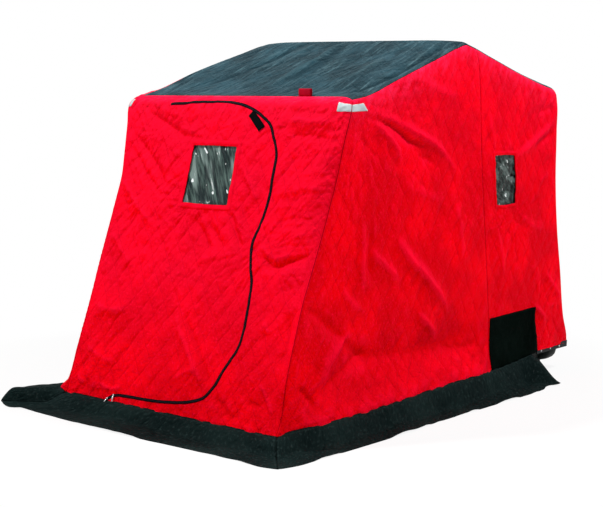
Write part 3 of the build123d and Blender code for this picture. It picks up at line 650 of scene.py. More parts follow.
def cloth_material(name, tones, roughness, specular, tint, sheen=0.0, quilted=False, weave=0.0011,
                   crinkle=(0.0022, 55.0, (1, 1, 1), 0.0, (1, 1, 1)), creased=0.0014, streaked=0.0, painted_sky_sheen=0.0):
    """Woven cloth: threads, crinkles, quilting and seam stitches, uneven dye, and soiled towards the foot. Over
    these lies painted light: a painted highlight on the crests of folds, painted shade in their valleys and in
    the creases, and a painted shadow line along each seam; and, where asked for, a painted sky sheen where the
    cloth faces up and towards the top, and a painted highlight along the top seams. tones are its own, a dark,
    a bright and the thread's. crinkle gives the depth, scale, stretch and turn of its crinkles, and the stretch
    of its creases."""
    colour, dark, bright, thread = tones
    depth, scale, stretch, turn, crease_stretch = crinkle
    look = Look(bpy.data.materials.new(name), dark)
    place = look.uv("metres")
    across, up, _ = look.split(place)
    fine = look.noise(place, 62.0, 4.0, 0.65)
    look.tint(look.ramp(look.noise(place, 3.1, 2.0), 0.35, 0.68), colour)
    look.tint(look.ramp(fine, 0.50, 0.72, 0.0, 0.5), bright)
    if streaked:
        streaks = look.noise(place, scale, 6.0, 0.7, stretch, turn)
        look.tint(look.ramp(streaks, 0.30, 0.50, streaked, 0.0), dark)
        look.tint(look.ramp(streaks, 0.50, 0.72, 0.0, streaked), bright)
    # Painted highlight on the crests of the folds and painted shade in their valleys, by how far the cloth
    # stands over or under the cloth round it.
    relief = look.stored("relief")
    look.tint(look.ramp(relief, 0.1, 1.0, 0.0, 0.25), bright)
    look.tint(look.ramp(relief, -0.8, -0.05, 0.7, 0.0), dark)
    if painted_sky_sheen:
        # Painted sky sheen: a lighter, pinker tint where the cloth faces up, and more of it towards the top.
        facing_up = look.split(look.node("NewGeometry").outputs["Normal"])[2]
        sky = look.times(look.ramp(facing_up, 0.02, 0.40, 0.0, painted_sky_sheen), look.ramp(up, 0.0, 0.9, 0.25, 1.0))
        look.tint(look.calc("ADD", sky, look.ramp(up, 0.9, 1.9, 0.0, 0.3 * painted_sky_sheen)), bright)
        # Painted highlight in pink streaks along each panel's top seam.
        crown_highlight = look.ramp(look.noise(place, 30.0, 4.0, 0.65, (1, 0.35, 1), 0.7), 0.40, 0.66, 0.10, 1.0)
        look.tint(look.times(look.stored("crown"), crown_highlight), CROWN_HIGHLIGHT_TONE)
    threads = look.times(look.waves(place, "X", weave), look.waves(place, "Y", weave))
    look.tint(look.times(threads, 0.22), dark)
    look.dent(look.noise(place, scale, 5.0, 0.62, stretch, turn), depth, 0.75)
    # Creases: bumps, and painted shade that darkens each crease's valley.
    for size, slant in ((9.0, 0.5), (16.0, -0.7)):
        field = look.creases(place, size, crease_stretch, turn + slant)
        look.dent(look.ramp(field, 0.0, 0.10), creased * 9 / size, 0.8)
        look.tint(look.ramp(field, 0.0, 0.010, 0.05, 0.0), dark)
    marks = []
    if quilted:
        cells = look.split(look.uv("quilt"))
        for one, other in ((0, 1), (1, 0)):
            gap = look.times(look.calc("PINGPONG", cells[one], 0.5), QUILT_STEP)
            marks.append((gap, look.times(cells[other], QUILT_STEP / STITCH), 0.0009, 0.0016))
    seam = look.stored("seam")
    gap = look.calc("ABSOLUTE", look.calc("SUBTRACT", seam, STITCH_ROW))
    marks.append((gap, look.times(look.calc("ADD", across, up), 1 / SEAM_STITCH), 0.0007, 0.0013))
    # Painted shade: the cloth darkened within 3 mm of each seam, a painted shadow line along the seam.
    look.tint(look.ramp(seam, 0.0005, 0.0030, 0.75, 0.0), [c * 0.25 for c in dark])
    for gap, stitches, near, far in marks:
        dashed = look.ramp(look.calc("FRACT", stitches), 0.62, 0.78, 1.0, 0.25)
        look.tint(look.times(look.times(look.ramp(gap, near, far, 1.0, 0.0), dashed), 0.35), thread)
        look.dent(look.ramp(gap, 0.0, 0.005), 0.0012, 0.8)
    blots = look.ramp(look.noise(place, 9.0, 5.0, 0.7), 0.45, 0.75)
    soil = look.times(look.ramp(up, 0.02, 0.30, 0.35, 0.0), blots)
    look.tint(soil, [c * 0.55 for c in dark])
    look.dent(threads, 0.00025, 0.5)
    return look.finish({"Roughness": look.ramp(fine, 0.3, 0.7, roughness - 0.06, roughness + 0.06),
                        "Specular Tint": (*tint, 1), "Specular IOR Level": specular, "Sheen Weight": sheen,
                        "Sheen Roughness": 0.45, "Sheen Tint": (*tint, 1)})


RED_TONES = ((0.90, 0.0, 0.001), (0.66, 0.0, 0.0), (1.0, 0.006, 0.050), (0.42, 0.0, 0.004))
# The red cloth's last entry lays the painted sky sheen, and the painted highlight along the top seams.
RED_FINISH = {"roughness": 0.55, "specular": 0.01, "tint": (1.0, 0.0, 0.22), "sheen": 0.10, "painted_sky_sheen": 0.38}
RED = cloth_material("red_quilted_cloth", RED_TONES, quilted=True, **RED_FINISH,
                     crinkle=(0.0085, 60.0, (1, 1, 1), 0.0, (1, 0.5, 1)))
RED_TRIM = cloth_material("red_binding_cloth", RED_TONES, **RED_FINISH)
SLATE_TONES = ((0.019, 0.053, 0.070), (0.006, 0.019, 0.026), (0.074, 0.136, 0.156), (0.015, 0.028, 0.032))
SLATE = cloth_material("dark_roof_cloth", SLATE_TONES, 0.60, 0.03, (0.8, 0.9, 0.95), creased=0.008,
                       streaked=0.9, crinkle=(0.0140, 52.0, (1.0, 0.055, 1), -0.10, (1, 0.2, 1)))
BLACK_TONES = ((0.0045, 0.011, 0.0105), (0.0015, 0.005, 0.005), (0.032, 0.053, 0.051), (0.02, 0.03, 0.03))
BLACK_CLOTH = cloth_material("black_skirt_cloth", BLACK_TONES, 0.70, 0.03, (0.6, 0.8, 0.8), weave=0.0016,
                             creased=0.004, crinkle=(0.006, 30.0, (1, 1, 1), 0.0, (1, 1, 1)))
PATCH_TONES = ((0.0018, 0.0045, 0.0034), (0.0006, 0.0018, 0.0012), (0.006, 0.010, 0.009), (0.012, 0.016, 0.015))
PATCH_CLOTH = cloth_material("black_patch_cloth", PATCH_TONES, 0.75, 0.005, (0.6, 0.8, 0.8), weave=0.0016)

# ---- The shell's panels
CELL_FRONT = 0.0088
CELL_SIDE = 0.0125
QUILT_HEIGHT, SMALL_CREASE, SLACK = 0.0034, 0.0026, 0.005


def cloth_fields(panel, seed, turn=0.9):
    """What every quilted panel has: its filling between the stitch lines, slack, and small creases."""
    a, b = panel.a, panel.b
    fullness = 0.75 + 0.35 * noise(a, b, 0.3, seed + 7)
    panel.add(QUILT_HEIGHT * fullness * (puff(panel.quilt) - 0.6))
    panel.add(SLACK * (noise(a, b, 0.42, seed) + 0.5 * noise(a, b, 0.21, seed + 1)))
    panel.crumple(1.4 * SMALL_CREASE, 0.10, seed + 2, 1.8, turn)
    panel.crumple(0.8 * SMALL_CREASE, 0.055, seed + 3, 1.3, -turn)


FRONT_FOLDS = (
    (-0.009, 0.030, -0.62, 1.585, -0.40, 1.495, -0.20, 1.405),
    (-0.008, 0.026, -0.69, 1.475, -0.56, 1.375, -0.40, 1.235, -0.31, 1.125),
    (-0.006, 0.022, -0.70, 1.405, -0.54, 1.265, -0.33, 1.085),
    (0.009, 0.030, -0.70, 1.225, -0.50, 1.045, -0.33, 0.925),
    (0.006, 0.032, -0.69, 0.93, -0.55, 0.80, -0.42, 0.70),
    (-0.007, 0.022, -0.09, 1.02, 0.0, 0.93, 0.09, 0.82),
    (-0.006, 0.020, 0.01, 1.00, 0.10, 0.92, 0.18, 0.84),
    (-0.007, 0.022, 0.135, 1.09, 0.22, 0.95, 0.31, 0.83),
    (0.007, 0.024, 0.15, 1.31, 0.26, 1.19, 0.335, 1.09),
    (0.010, 0.030, -0.07, 0.50, 0.09, 0.32, 0.24, 0.14),
    (-0.006, 0.024, -0.02, 0.52, 0.14, 0.34, 0.29, 0.15),
    (0.012, 0.060, -0.68, 0.50, -0.52, 0.47, -0.36, 0.50),
    (0.008, 0.040, -0.67, 0.28, -0.52, 0.22, -0.36, 0.19),
    (0.009, 0.028, 0.36, 1.555, 0.52, 1.548, 0.70, 1.548),
    (-0.004, 0.018, 0.36, 1.595, 0.52, 1.59, 0.70, 1.585),
    (-0.006, 0.024, 0.40, 1.47, 0.55, 1.475, 0.72, 1.46),
    (-0.012, 0.022, 0.40, 0.885, 0.50, 0.80, 0.62, 0.842, 0.745, 0.895),
    (0.006, 0.026, 0.38, 0.925, 0.50, 0.845, 0.62, 0.885),
    (0.005, 0.030, 0.44, 1.19, 0.58, 1.21, 0.72, 1.20),
    (-0.004, 0.022, 0.43, 1.02, 0.58, 1.05, 0.72, 1.04),
    (0.006, 0.018, 0.52, 0.535, 0.575, 0.465),
    (-0.009, 0.045, 0.66, 0.60, 0.685, 0.45, 0.67, 0.28),
    (-0.008, 0.020, 0.30, 0.135, 0.47, 0.02),
    (-0.006, 0.018, 0.51, 0.13, 0.615, 0.12),
    (0.007, 0.022, 0.56, 0.25, 0.66, 0.15, 0.71, 0.05),
    (0.008, 0.022, -0.50, 0.085, -0.40, 0.06, -0.30, 0.075),
    (0.008, 0.020, -0.66, 0.10, -0.58, 0.05),
    (0.005, 0.020, 0.02, 0.16, 0.10, 0.22, 0.20, 0.24),
)
FRONT_RAYS = (                    # centre, pitch, reach, height
    ((0.76, 1.67), 0.050, 0.50, 0.0060), ((-0.76, 1.67), 0.048, 0.42, 0.0050),
    ((-0.46, 1.47), 0.045, 0.30, 0.0040), ((-0.10, 1.47), 0.045, 0.30, 0.0040),
    ((-0.46, 1.10), 0.045, 0.34, 0.0045), ((-0.10, 1.10), 0.045, 0.34, 0.0045),
    ((0.30, 1.52), 0.045, 0.26, 0.0040), ((0.42, 0.88), 0.050, 0.36, 0.0045),
    ((0.76, 0.0), 0.050, 0.40, 0.0050), ((-0.76, 0.0), 0.055, 0.40, 0.0050),
)


def make_front():
    u, v = shares(1.48, CELL_FRONT), shares(FRONT_TOP, CELL_FRONT)
    base = front_base(u, v)
    b = np.broadcast_to(front_length(v)[:, None], base.shape[:2])
    p = Panel(base, (X_AXIS, UP_FRONT), OUT_FRONT, base[..., 0], b, seams=(1, 1, 0, 1), seed=11)
    cloth_fields(p, 100)
    p.folds(FRONT_FOLDS)
    for centre, pitch, reach, height in FRONT_RAYS:
        p.rays(centre, pitch, reach, height, 170 + int(100 * centre[0]))
    strip = ease((p.a - 0.40) / 0.08) * ease((1.62 - p.b) / 0.1) * ease((p.b - 0.6) / 0.25)
    p.crumple(0.0045 * strip, 0.060, 140, 3.2, 0.12)
    p.crumple(0.005 * ease((0.16 - p.b) / 0.12), 0.09, 150, 1.6, -0.5)
    p.puckers(0, 0.0018, 0.034, 0.030, 160, 0.5)
    p.puckers(1, 0.0022, 0.032, 0.040, 161, -0.8)
    p.puckers(3, 0.0014, 0.030, 0.022, 162)
    return p


FLARE, FLARE_HEIGHT = 0.036, 0.10  # the side cloth's flare over its hem


def make_side(base, side, seed):
    """One panel of a side wall. Its own a runs from the front to the back, and b up."""
    p = Panel(base, (Y_AXIS, Z_AXIS), X_AXIS * side, base[..., 1], base[..., 2], seams=(1, 1, 0, 1),
              seed=seed)
    cloth_fields(p, seed, turn=0.6)
    flare = FLARE * np.exp(-((p.to_edge[2] / FLARE_HEIGHT) ** 2))
    p.height = p.height + flare * ease((p.a - 0.05) / 0.25) * ease((2.1 - p.a) / 0.4)
    return p


LEFT_TOE = 0.085                  # how far the left side's front foot is pushed out by the skirt's stiff corner
FORE_FOLDS = (
    (-0.016, 0.130, 0.50, 0.37, 0.95, 0.36, 1.40, 0.34, 1.85, 0.42),
    (-0.010, 0.050, 0.10, 0.72, 0.30, 0.62, 0.55, 0.45, 0.85, 0.30),
    (0.012, 0.030, 0.56, 1.645, 0.843, 1.572, 1.057, 1.515, 1.307, 1.430, 1.58, 1.26),
    (-0.013, 0.034, 0.60, 1.600, 0.93, 1.525, 1.12, 1.430, 1.36, 1.300),
    (0.011, 0.028, 0.64, 1.585, 0.79, 1.515, 0.914, 1.426, 1.0, 1.33),
    (-0.010, 0.055, 0.58, 1.50, 0.68, 1.46, 0.78, 1.40),
    (0.007, 0.032, 0.66, 1.12, 0.65, 0.90, 0.66, 0.66),
    (-0.005, 0.024, 0.72, 1.10, 0.715, 0.92, 0.72, 0.72),
    (0.015, 0.045, 0.90, 1.01, 1.057, 0.855, 1.236, 0.730, 1.38, 0.622, 1.54, 0.51),
    (0.009, 0.034, 0.70, 0.925, 0.879, 0.805, 1.02, 0.725),
    (0.013, 0.038, 0.28, 0.24, 0.36, 0.364, 0.486, 0.470, 0.60, 0.53),
    (-0.013, 0.055, 0.26, 0.20, 0.486, 0.31, 0.82, 0.42),
    (0.011, 0.034, 1.16, 0.555, 1.28, 0.47, 1.40, 0.39),
    (-0.009, 0.024, 0.125, 0.31, 0.236, 0.22, 0.30, 0.12),
    (0.006, 0.030, 0.46, 0.75, 0.56, 0.66, 0.70, 0.60),
    (0.005, 0.035, 1.50, 1.16, 1.58, 0.95, 1.62, 0.75),
    (-0.006, 0.040, 1.40, 0.33, 1.62, 0.30, 1.85, 0.33),
    (0.006, 0.040, 1.10, 1.80, 1.30, 1.74, 1.52, 1.70),
    (0.004, 0.040, 0.95, 1.27, 1.20, 1.18, 1.45, 1.14),
)
AFT_FOLDS = (
    (0.011, 0.028, 2.14, 1.355, 2.396, 1.462, 2.655, 1.59),
    (-0.007, 0.026, 2.40, 1.62, 2.655, 1.672),
    (-0.007, 0.024, 2.38, 1.40, 2.655, 1.525),
    (0.008, 0.028, 2.46, 0.465, 2.66, 0.345),
    (0.008, 0.030, 2.58, 0.67, 2.84, 0.445),
    (0.004, 0.024, 1.84, 1.62, 1.90, 1.48, 1.93, 1.36),
    (0.005, 0.040, 2.20, 1.05, 2.40, 0.95, 2.62, 0.92),
    (0.005, 0.034, 1.98, 0.98, 2.05, 0.80, 2.10, 0.62),
    (0.004, 0.030, 2.45, 1.20, 2.60, 1.28),
)


# From a tube to the cloth's outer face, how far to its sides that holds, and how softly the lift begins
TUBE_CLEARANCE, TUBE_REACH, TUBE_SOFT = 0.0075, 0.018, 0.002
SIDE_FALL, END_FALL = 0.45, 0.6   # how fast the lift falls off beyond a tube's sides and ends
UPRIGHT_X, UPRIGHT_Z = 0.62, 1.62  # a tube's upright part lies further out than this, and lower


def clear_of_tube(panel, side, name):
    """Lifts a side panel's cloth off a tube of the frame, where a fold would reach in to it."""
    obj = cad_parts[name]
    p = np.array([obj.matrix_world @ v.co for v in obj.data.vertices]) + [0, MIDDLE_Y, 0]
    p = p[(side * p[:, 0] > UPRIGHT_X) & (p[:, 2] < UPRIGHT_Z)]
    centre = p.mean(0)
    run = np.linalg.svd(p[:, 1:] - centre[1:], full_matrices=False)[2][0]
    along = (p[:, 1:] - centre[1:]) @ run
    slope, level = np.polyfit(along, side * p[:, 0], 1)
    proud = (side * p[:, 0] - slope * along - level).max()
    y, z = panel.base[..., 1] - centre[1], panel.base[..., 2] - centre[2]
    here = y * run[0] + z * run[1]
    off = np.abs(y * run[1] - z * run[0])
    beyond = np.maximum(0, np.maximum(here - along.max(), along.min() - here))
    need = slope * here + level + proud + TUBE_CLEARANCE - side * panel.base[..., 0]
    need = need - SIDE_FALL * np.maximum(0, off - TUBE_REACH) - END_FALL * beyond
    panel.height = need + TUBE_SOFT * np.logaddexp(0, (panel.height - need) / TUBE_SOFT)


SIDE_RAYS = (                     # 0 for the front panel or 1 for the rear, centre, pitch, reach, height
    (0, (0.56, 1.66), 0.040, 0.75, 0.0070), (0, (0.04, 0.10), 0.050, 0.55, 0.0050),
    (0, (1.88, 1.36), 0.045, 0.34, 0.0040), (0, (1.86, 0.12), 0.050, 0.45, 0.0040),
    (1, (2.64, 1.74), 0.045, 0.45, 0.0050), (1, (2.16, 1.00), 0.045, 0.40, 0.0045),
    (1, (2.55, 0.44), 0.045, 0.40, 0.0045),
)
SIDE_PUCKERS = (                  # panel, edge, depth, pitch, reach, seed, slant
    (0, 0, 0.0022, 0.034, 0.040, 300, 0.8), (0, 1, 0.0016, 0.038, 0.035, 310, 0.6),
    (0, 3, 0.0016, 0.036, 0.030, 320, 0.0), (1, 0, 0.0016, 0.038, 0.030, 330, -0.6),
    (1, 1, 0.0016, 0.036, 0.030, 340, 0.0), (1, 3, 0.0016, 0.036, 0.030, 350, 0.0),
)


def make_sides():
    """Both sides' panels. The left one's folds are shifted and weaker, so that it is no mirror image."""
    made = {}
    for word, side, seeds, shift, gain in (("right", 1, (210, 230), 0.0, 1.15),
                                           ("left", -1, (260, 280), 0.07, 1.0)):
        bases = side_bases(side, CELL_SIDE)
        fore, aft = pair = [make_side(base, side, seed) for base, seed in zip(bases, seeds)]
        for which, centre, pitch, reach, height in SIDE_RAYS:
            pair[which].rays(centre, pitch, reach, height, 380 + side + int(20 * centre[0]))
        fore.folds(FORE_FOLDS, gain, shift)
        aft.folds(AFT_FOLDS, gain, shift)
        for which, edge, depth, pitch, reach, seed, slant in SIDE_PUCKERS:
            pair[which].puckers(edge, depth, pitch, reach, seed + side, slant)
        for panel in pair:
            panel.crumple(0.006 * ease((0.34 - panel.b) / 0.2), 0.11, 360 + side, 1.7, 0.4)
            crown = np.exp(-((panel.to_edge[3] / 0.13) ** 2))
            panel.crumple(0.0065 * crown, 0.060, 370 + side, 2.4, 0.9)
        if side < 0:
            toe = np.exp(-((fore.to_edge[2] / 0.06) ** 2)) * np.exp(-((fore.to_edge[0] / 0.13) ** 2))
            fore.height = fore.height + LEFT_TOE * toe * ease(fore.to_edge[0] / 0.05)
        for panel in pair:
            for name in ("front_bow", *(word + end for end in ("_front_arm", "_middle_arm", "_rear_arm",
                                                               "_arm_collars"))):
                clear_of_tube(panel, side, name)
        made[word] = (fore, aft)
    return made


ROOF_CREST = ((-0.10, 1.08), (-0.06, 0.90), (-0.013, 0.70), (0.003, 0.50), (0.003, 0.20))
ROOF_FRONT_FOLDS = (
    (-0.012, 0.050, -0.36, 1.08, -0.38, 0.85, -0.39, 0.55, -0.50, 0.10),
    (0.006, 0.035, -0.28, 1.08, -0.28, 0.70, -0.30, 0.35),
    (0.007, 0.070, 0.42, 0.15, 0.43, 0.45, 0.40, 0.80),
    (-0.005, 0.050, 0.20, 0.95, 0.22, 0.60, 0.20, 0.30),
    (-0.014, 0.040, 0.64, 1.05, 0.65, 0.65, 0.62, 0.25, 0.56, 0.05),
    (0.004, 0.018, 0.60, 0.14, 0.67, 0.10),
)
ROOF_REAR_FOLDS = (
    (0.009, 0.034, 0.12, 0.08, 0.08, 0.45, 0.14, 0.98),
    (-0.008, 0.045, -0.35, 0.05, -0.30, 0.50, -0.38, 1.0),
    (0.007, 0.050, 0.45, 0.10, 0.50, 0.55, 0.44, 0.98),
    (-0.006, 0.040, -0.60, 0.1, -0.63, 0.6, -0.60, 1.0),
    (-0.005, 0.040, -0.10, 0.3, -0.12, 0.7),
)


INNER = 50                        # a column of the roofs' grids well away from their seams


def make_roofs():
    u = shares(1.44, CELL_SIDE)
    front_v, rear_v = shares(1.10, CELL_SIDE), shares(1.07, CELL_SIDE)
    top = front_base(u, np.array([1.0]))[0]
    ridge = cross_line(RIDGE_Y, RIDGE[1], u, 0.014)
    rear = cross_line(REAR_Y, REAR_TOP, u)
    panels = []
    for low, high, v, sag, seed in ((top, ridge, front_v, 0.010, 400), (ridge, rear, rear_v, 0.026, 430)):
        y = low[0, 1] + v * (high[0, 1] - low[0, 1])
        base = coons(low, roof_seam(y), high, roof_seam(y, -1), u, v)
        run = np.linalg.norm(high[len(high) // 2] - low[len(low) // 2]) * v
        b = np.broadcast_to(run[:, None], base.shape[:2])
        slope = math.atan2(high[INNER, 2] - low[INNER, 2], high[INNER, 1] - low[INNER, 1])
        axis = np.array([0, math.cos(slope), math.sin(slope)])
        p = Panel(base, (X_AXIS, axis), Z_AXIS, base[..., 0], b, rise=0.003, seed=seed)
        from_seams = np.minimum(1, p.to_edge[0] / 0.25) * np.minimum(1, p.to_edge[1] / 0.25)
        p.height = p.height - sag * np.sin(math.pi * v)[:, None] * from_seams
        p.add(0.006 * noise(p.a + 0.28 * p.b, p.b * 0.35, 0.17, seed))
        p.crumple(0.0045, 0.075, seed + 3, 5.0, 1.85)
        p.crumple(0.003, 0.12, seed + 5, 2.2, 1.3)
        for edge, (depth, pitch, reach) in enumerate(((0.0014, 0.034, 0.022), (0.0014, 0.034, 0.022),
                                                      (0.0016, 0.032, 0.022), (0.0012, 0.036, 0.020))):
            p.puckers(edge, depth, pitch, reach, seed + 6 + edge)
        panels.append(p)
    front, rear = panels
    strip = np.exp(-((front.to_edge[1] - 0.05) / 0.06) ** 2)
    front.crumple(0.0075 * strip, 0.060, 460, 3.0, 0.75)
    front.fold(ROOF_CREST, 0.016, 0.034, 0.4)
    front.folds(ROOF_FRONT_FOLDS)
    rear.folds(ROOF_REAR_FOLDS)
    return front.settle(), rear.settle()


REAR_FOLDS = (
    (0.010, 0.034, -0.70, 1.60, -0.45, 1.40, -0.30, 1.10),
    (0.010, 0.034, 0.70, 1.62, 0.50, 1.45, 0.20, 1.32),
    (-0.009, 0.032, 0.68, 1.50, 0.50, 1.25, 0.42, 0.95),
    (0.007, 0.045, -0.10, 1.55, -0.05, 1.10, -0.12, 0.70),
    (0.009, 0.040, -0.65, 0.75, -0.40, 0.55, -0.10, 0.45),
    (0.009, 0.036, 0.68, 0.40, 0.45, 0.60, 0.30, 0.85),
    (-0.007, 0.030, 0.10, 0.42, 0.30, 0.33, 0.55, 0.30),
    (-0.006, 0.030, -0.60, 0.35, -0.30, 0.28, 0.0, 0.30),
)


def make_rear():
    u, v = shares(1.46, CELL_SIDE), shares(1.62, CELL_SIDE)
    right, left = read(REAR_SEAM, v), read(REAR_SEAM, v) * [-1, 1, 1]
    top = cross_line(REAR_Y, REAR_TOP, u)
    (_, half, y, z), *_ = REAR_SEAM
    bottom = np.stack([-half + 2 * half * u, np.full(len(u), y), np.full(len(u), z)], 1)
    base = coons(bottom, right, top, left, u, v)
    over = np.exp(-((v - 1)[:, None] / 0.02) ** 2)
    p = Panel(base, (X_AXIS, Z_AXIS), Y_AXIS, base[..., 0], base[..., 2], seams=(1, 1, 0, 1), seed=500)
    p.height = p.height + 0.010 * over * p.open
    cloth_fields(p, 510)
    p.folds(REAR_FOLDS)
    for edge in (0, 1, 3):
        p.puckers(edge, 0.0018, 0.035, 0.035, 540 + edge, 0.5)
    return p.settle()


front = make_front()
sides = make_sides()
roof_front, roof_rear = make_roofs()
rear = make_rear()
front.settle()
for pair in sides.values():
    for panel in pair:
        panel.settle()

# ---- The door, its window and the side windows, cut out of the panels
ZIP_PATH = through((
    (-0.442, 1.622), (-0.30, 1.631), (-0.15, 1.637), (0.0, 1.636), (0.12, 1.613), (0.225, 1.565),
    (0.290, 1.520), (0.322, 1.462), (0.358, 1.395), (0.374, 1.310), (0.378, 1.220), (0.380, 1.10),
    (0.363, 1.0), (0.341, 0.90), (0.352, 0.83), (0.386, 0.72), (0.402, 0.60), (0.408, 0.48),
    (0.398, 0.38), (0.340, 0.268), (0.293, 0.168), (0.245, 0.109), (0.158, 0.076), (0.002, 0.050),
    (-0.175, 0.040), (-0.283, 0.037), (-0.348, 0.030), (-0.385, 0.012), (-0.412, -0.006),
), 420)


def outline_of(*points):
    """A closed outline of smooth sides. The points are its corners and, after each, the next side's middle."""
    ends = points[2::2] + points[:1]
    return np.vstack([through(side, 24)[:-1] for side in zip(points[::2], points[1::2], ends)])


DOOR_WINDOW = outline_of((-0.209, 1.400), (-0.05, 1.403), (0.097, 1.402), (0.106, 1.25), (0.117, 1.088),
                         (-0.04, 1.083), (-0.199, 1.086), (-0.200, 1.24))
SIDE_WINDOW = outline_of((1.922, 1.378), (2.04, 1.381), (2.150, 1.378), (2.178, 1.24), (2.188, 1.092),
                         (2.08, 1.086), (1.969, 1.090), (1.940, 1.24))

front.cut(ZIP_PATH)
front.cut(DOOR_WINDOW)
for word in sides:
    sides[word][1].cut(SIDE_WINDOW)

SHELL = ("red_shell_cloth", RED)
ROOF = ("dark_roof_cloth", SLATE)
panel_piece(front, "front_cloth", "front_wall", *SHELL, wanted=(-1,), area=1.27, flat=(1.48, FRONT_TOP))
panel_piece(front, "door_cloth", "door_flap", *SHELL, held="hung", wanted=(1, -1), area=1.15, flat=(0.86, 1.61))
panel_piece(roof_front, "roof_front_cloth", "roof_front_panel", *ROOF)
panel_piece(roof_rear, "roof_rear_cloth", "roof_rear_panel", *ROOF)
panel_piece(rear, "rear_cloth", "rear_wall", *SHELL)
for word, (fore, aft) in sides.items():
    panel_piece(fore, word + "_side_front_cloth", word + "_side_front_panel", *SHELL)
    panel_piece(aft, word + "_side_rear_cloth", word + "_side_rear_panel", *SHELL, wanted=(-1,))

# ---- Trim: built along lines and places on the cloth
def simple_material(name, colour, roughness, metallic=0.0, specular=0.4, grain=(420.0, 0.0003), wear=None):
    """A moulded, painted or metal surface: grain of that scale and depth, uneven gloss, and wear if given."""
    look = Look(bpy.data.materials.new(name), [c * 0.72 for c in colour])
    place = look.node("TexCoord").outputs["Object"]
    blot = look.noise(place, 6.0, 4.0, 0.6)
    look.tint(look.ramp(blot, 0.35, 0.7), colour)
    if wear:
        look.tint(look.ramp(look.noise(place, 23.0, 6.0, 0.75), 0.60, 0.70, 0.0, 0.6), wear)
    look.dent(look.noise(place, grain[0], 3.0, 0.6), grain[1], 0.6)
    return look.finish({"Roughness": look.ramp(blot, 0.3, 0.7, roughness - 0.08, roughness + 0.08),
                        "Metallic": metallic, "Specular IOR Level": specular})


ZIP_TAPE = simple_material("zip_tape", (0.0018, 0.0022, 0.0045), 0.75, specular=0.02, grain=(900.0, 0.0003))
ZIP_TEETH = simple_material("zip_teeth", (0.004, 0.004, 0.008), 0.45, specular=0.10)
PULL_METAL = simple_material("zip_pull_metal", (0.72, 0.73, 0.75), 0.30, metallic=1.0)
FUZZ = simple_material("hook_and_loop", (0.0025, 0.0035, 0.0040), 0.9, specular=0.02, grain=(1400.0, 0.0012))
RED_WEB = simple_material("red_webbing", (0.40, 0.0, 0.016), 0.7, specular=0.05, grain=(800.0, 0.0005))
TAPE = simple_material("reflective_tape", (0.50, 0.56, 0.58), 0.38, specular=0.3, grain=(600.0, 0.0002))


def merged(parts):
    """Several meshes, given as points and faces, as one."""
    points, faces, count = [], [], 0
    for p, f in parts:
        points.append(np.asarray(p, float))
        faces += [[int(k) + count for k in face] for face in f]
        count += len(p)
    return np.vstack(points), faces


def unit(v):
    return v / (np.linalg.norm(v, axis=-1, keepdims=True) + 1e-12)


def swept(path, normals, section):
    """A section of points, given as sideways and outward distances, carried along a path on the cloth."""
    along = unit(np.gradient(path, axis=0))
    aside = unit(np.cross(along, normals))
    out = unit(np.cross(aside, along))
    sec = np.asarray(section, float)
    pts = path[:, None] + aside[:, None] * sec[None, :, :1] + out[:, None] * sec[None, :, 1:]
    size = (len(path), len(sec))
    return pts.reshape(-1, 3), ring_quads(*size) + ring_caps(*size)


def softened(values, width):
    """Running mean along a line, its ends kept."""
    pad = np.pad(values, ((width, width), (0, 0)), mode="edge")
    kernel = np.ones(2 * width + 1) / (2 * width + 1)
    return np.stack([np.convolve(pad[:, c], kernel, mode="valid") for c in range(values.shape[1])], 1)


def even_steps(path, extra, step):
    """A path and what goes with it, read again at even steps."""
    run = run_along(path)
    t = np.arange(0, run[-1], step)
    return at_runs(t, run, path), at_runs(t, run, extra)


def stacked(*rings, hollow=False):
    """A solid from flat outlines at their heights, closed at both ends. hollow joins the last to the first."""
    size = (len(rings), len(rings[0][0]))
    points = np.vstack([np.c_[outline, np.full(size[1], z)] for outline, z in rings])
    return points, ring_quads(*size, hollow) + ([] if hollow else ring_caps(*size))


def bar(half_length, half_width, height, chamfer):
    """A small bar with sloping shoulders, around the origin, standing on its base."""
    square = np.array([(-1, -1), (1, -1), (1, 1), (-1, 1)])
    foot = square * (half_length, half_width)
    return stacked((foot, 0), (foot, height - chamfer), (foot - square * chamfer, height))


def oval(length, width, count=28, power=2.6, shift=0.0):
    t = np.linspace(0, 2 * math.pi, count, endpoint=False)
    c, s = np.cos(t), np.sin(t)
    return np.stack([shift + length / 2 * np.sign(c) * np.abs(c) ** (2 / power),
                     width / 2 * np.sign(s) * np.abs(s) ** (2 / power)], 1)


def set_down(shape, centre, along, out):
    """A small shape, its own X along a line and its Z outward, set at a point."""
    pts, faces = shape
    along, out = unit(np.asarray(along, float)), unit(np.asarray(out, float))
    aside = unit(np.cross(out, along))
    out = np.cross(along, aside)
    return np.asarray(centre) + pts[:, :1] * along + pts[:, 1:2] * aside + pts[:, 2:3] * out, faces


# The zip: its two tapes, and its teeth
ZIP_NEAR, ZIP_FAR, ZIP_BEVEL = 0.0014, 0.0080, 0.0012
TOOTH_PITCH, TOOTH_ASIDE, TOOTH_LIFT = 0.0018, 0.0011, 0.0008
zip_points, zip_normals = front.place(ZIP_PATH[:, 0], ZIP_PATH[:, 1])
zip_points, zip_normals = softened(zip_points, 2), unit(softened(zip_normals, 4))
path, facing = even_steps(zip_points, zip_normals, 0.006)
tapes = []
for sign in (1, -1):
    section = [(sign * x, z) for x, z in (
        (ZIP_NEAR, 0.0006), (ZIP_NEAR, 0.0020), (ZIP_NEAR + ZIP_BEVEL, 0.0024),
        (ZIP_FAR - ZIP_BEVEL, 0.0018), (ZIP_FAR, 0.0012), (ZIP_FAR, 0.0002))]
    tapes.append(swept(path, facing, section[::sign]))
piece("zip_tapes", *merged(tapes), ZIP_TAPE, "zip_tape", ["door_zipper"])
path, facing = even_steps(zip_points, zip_normals, TOOTH_PITCH)
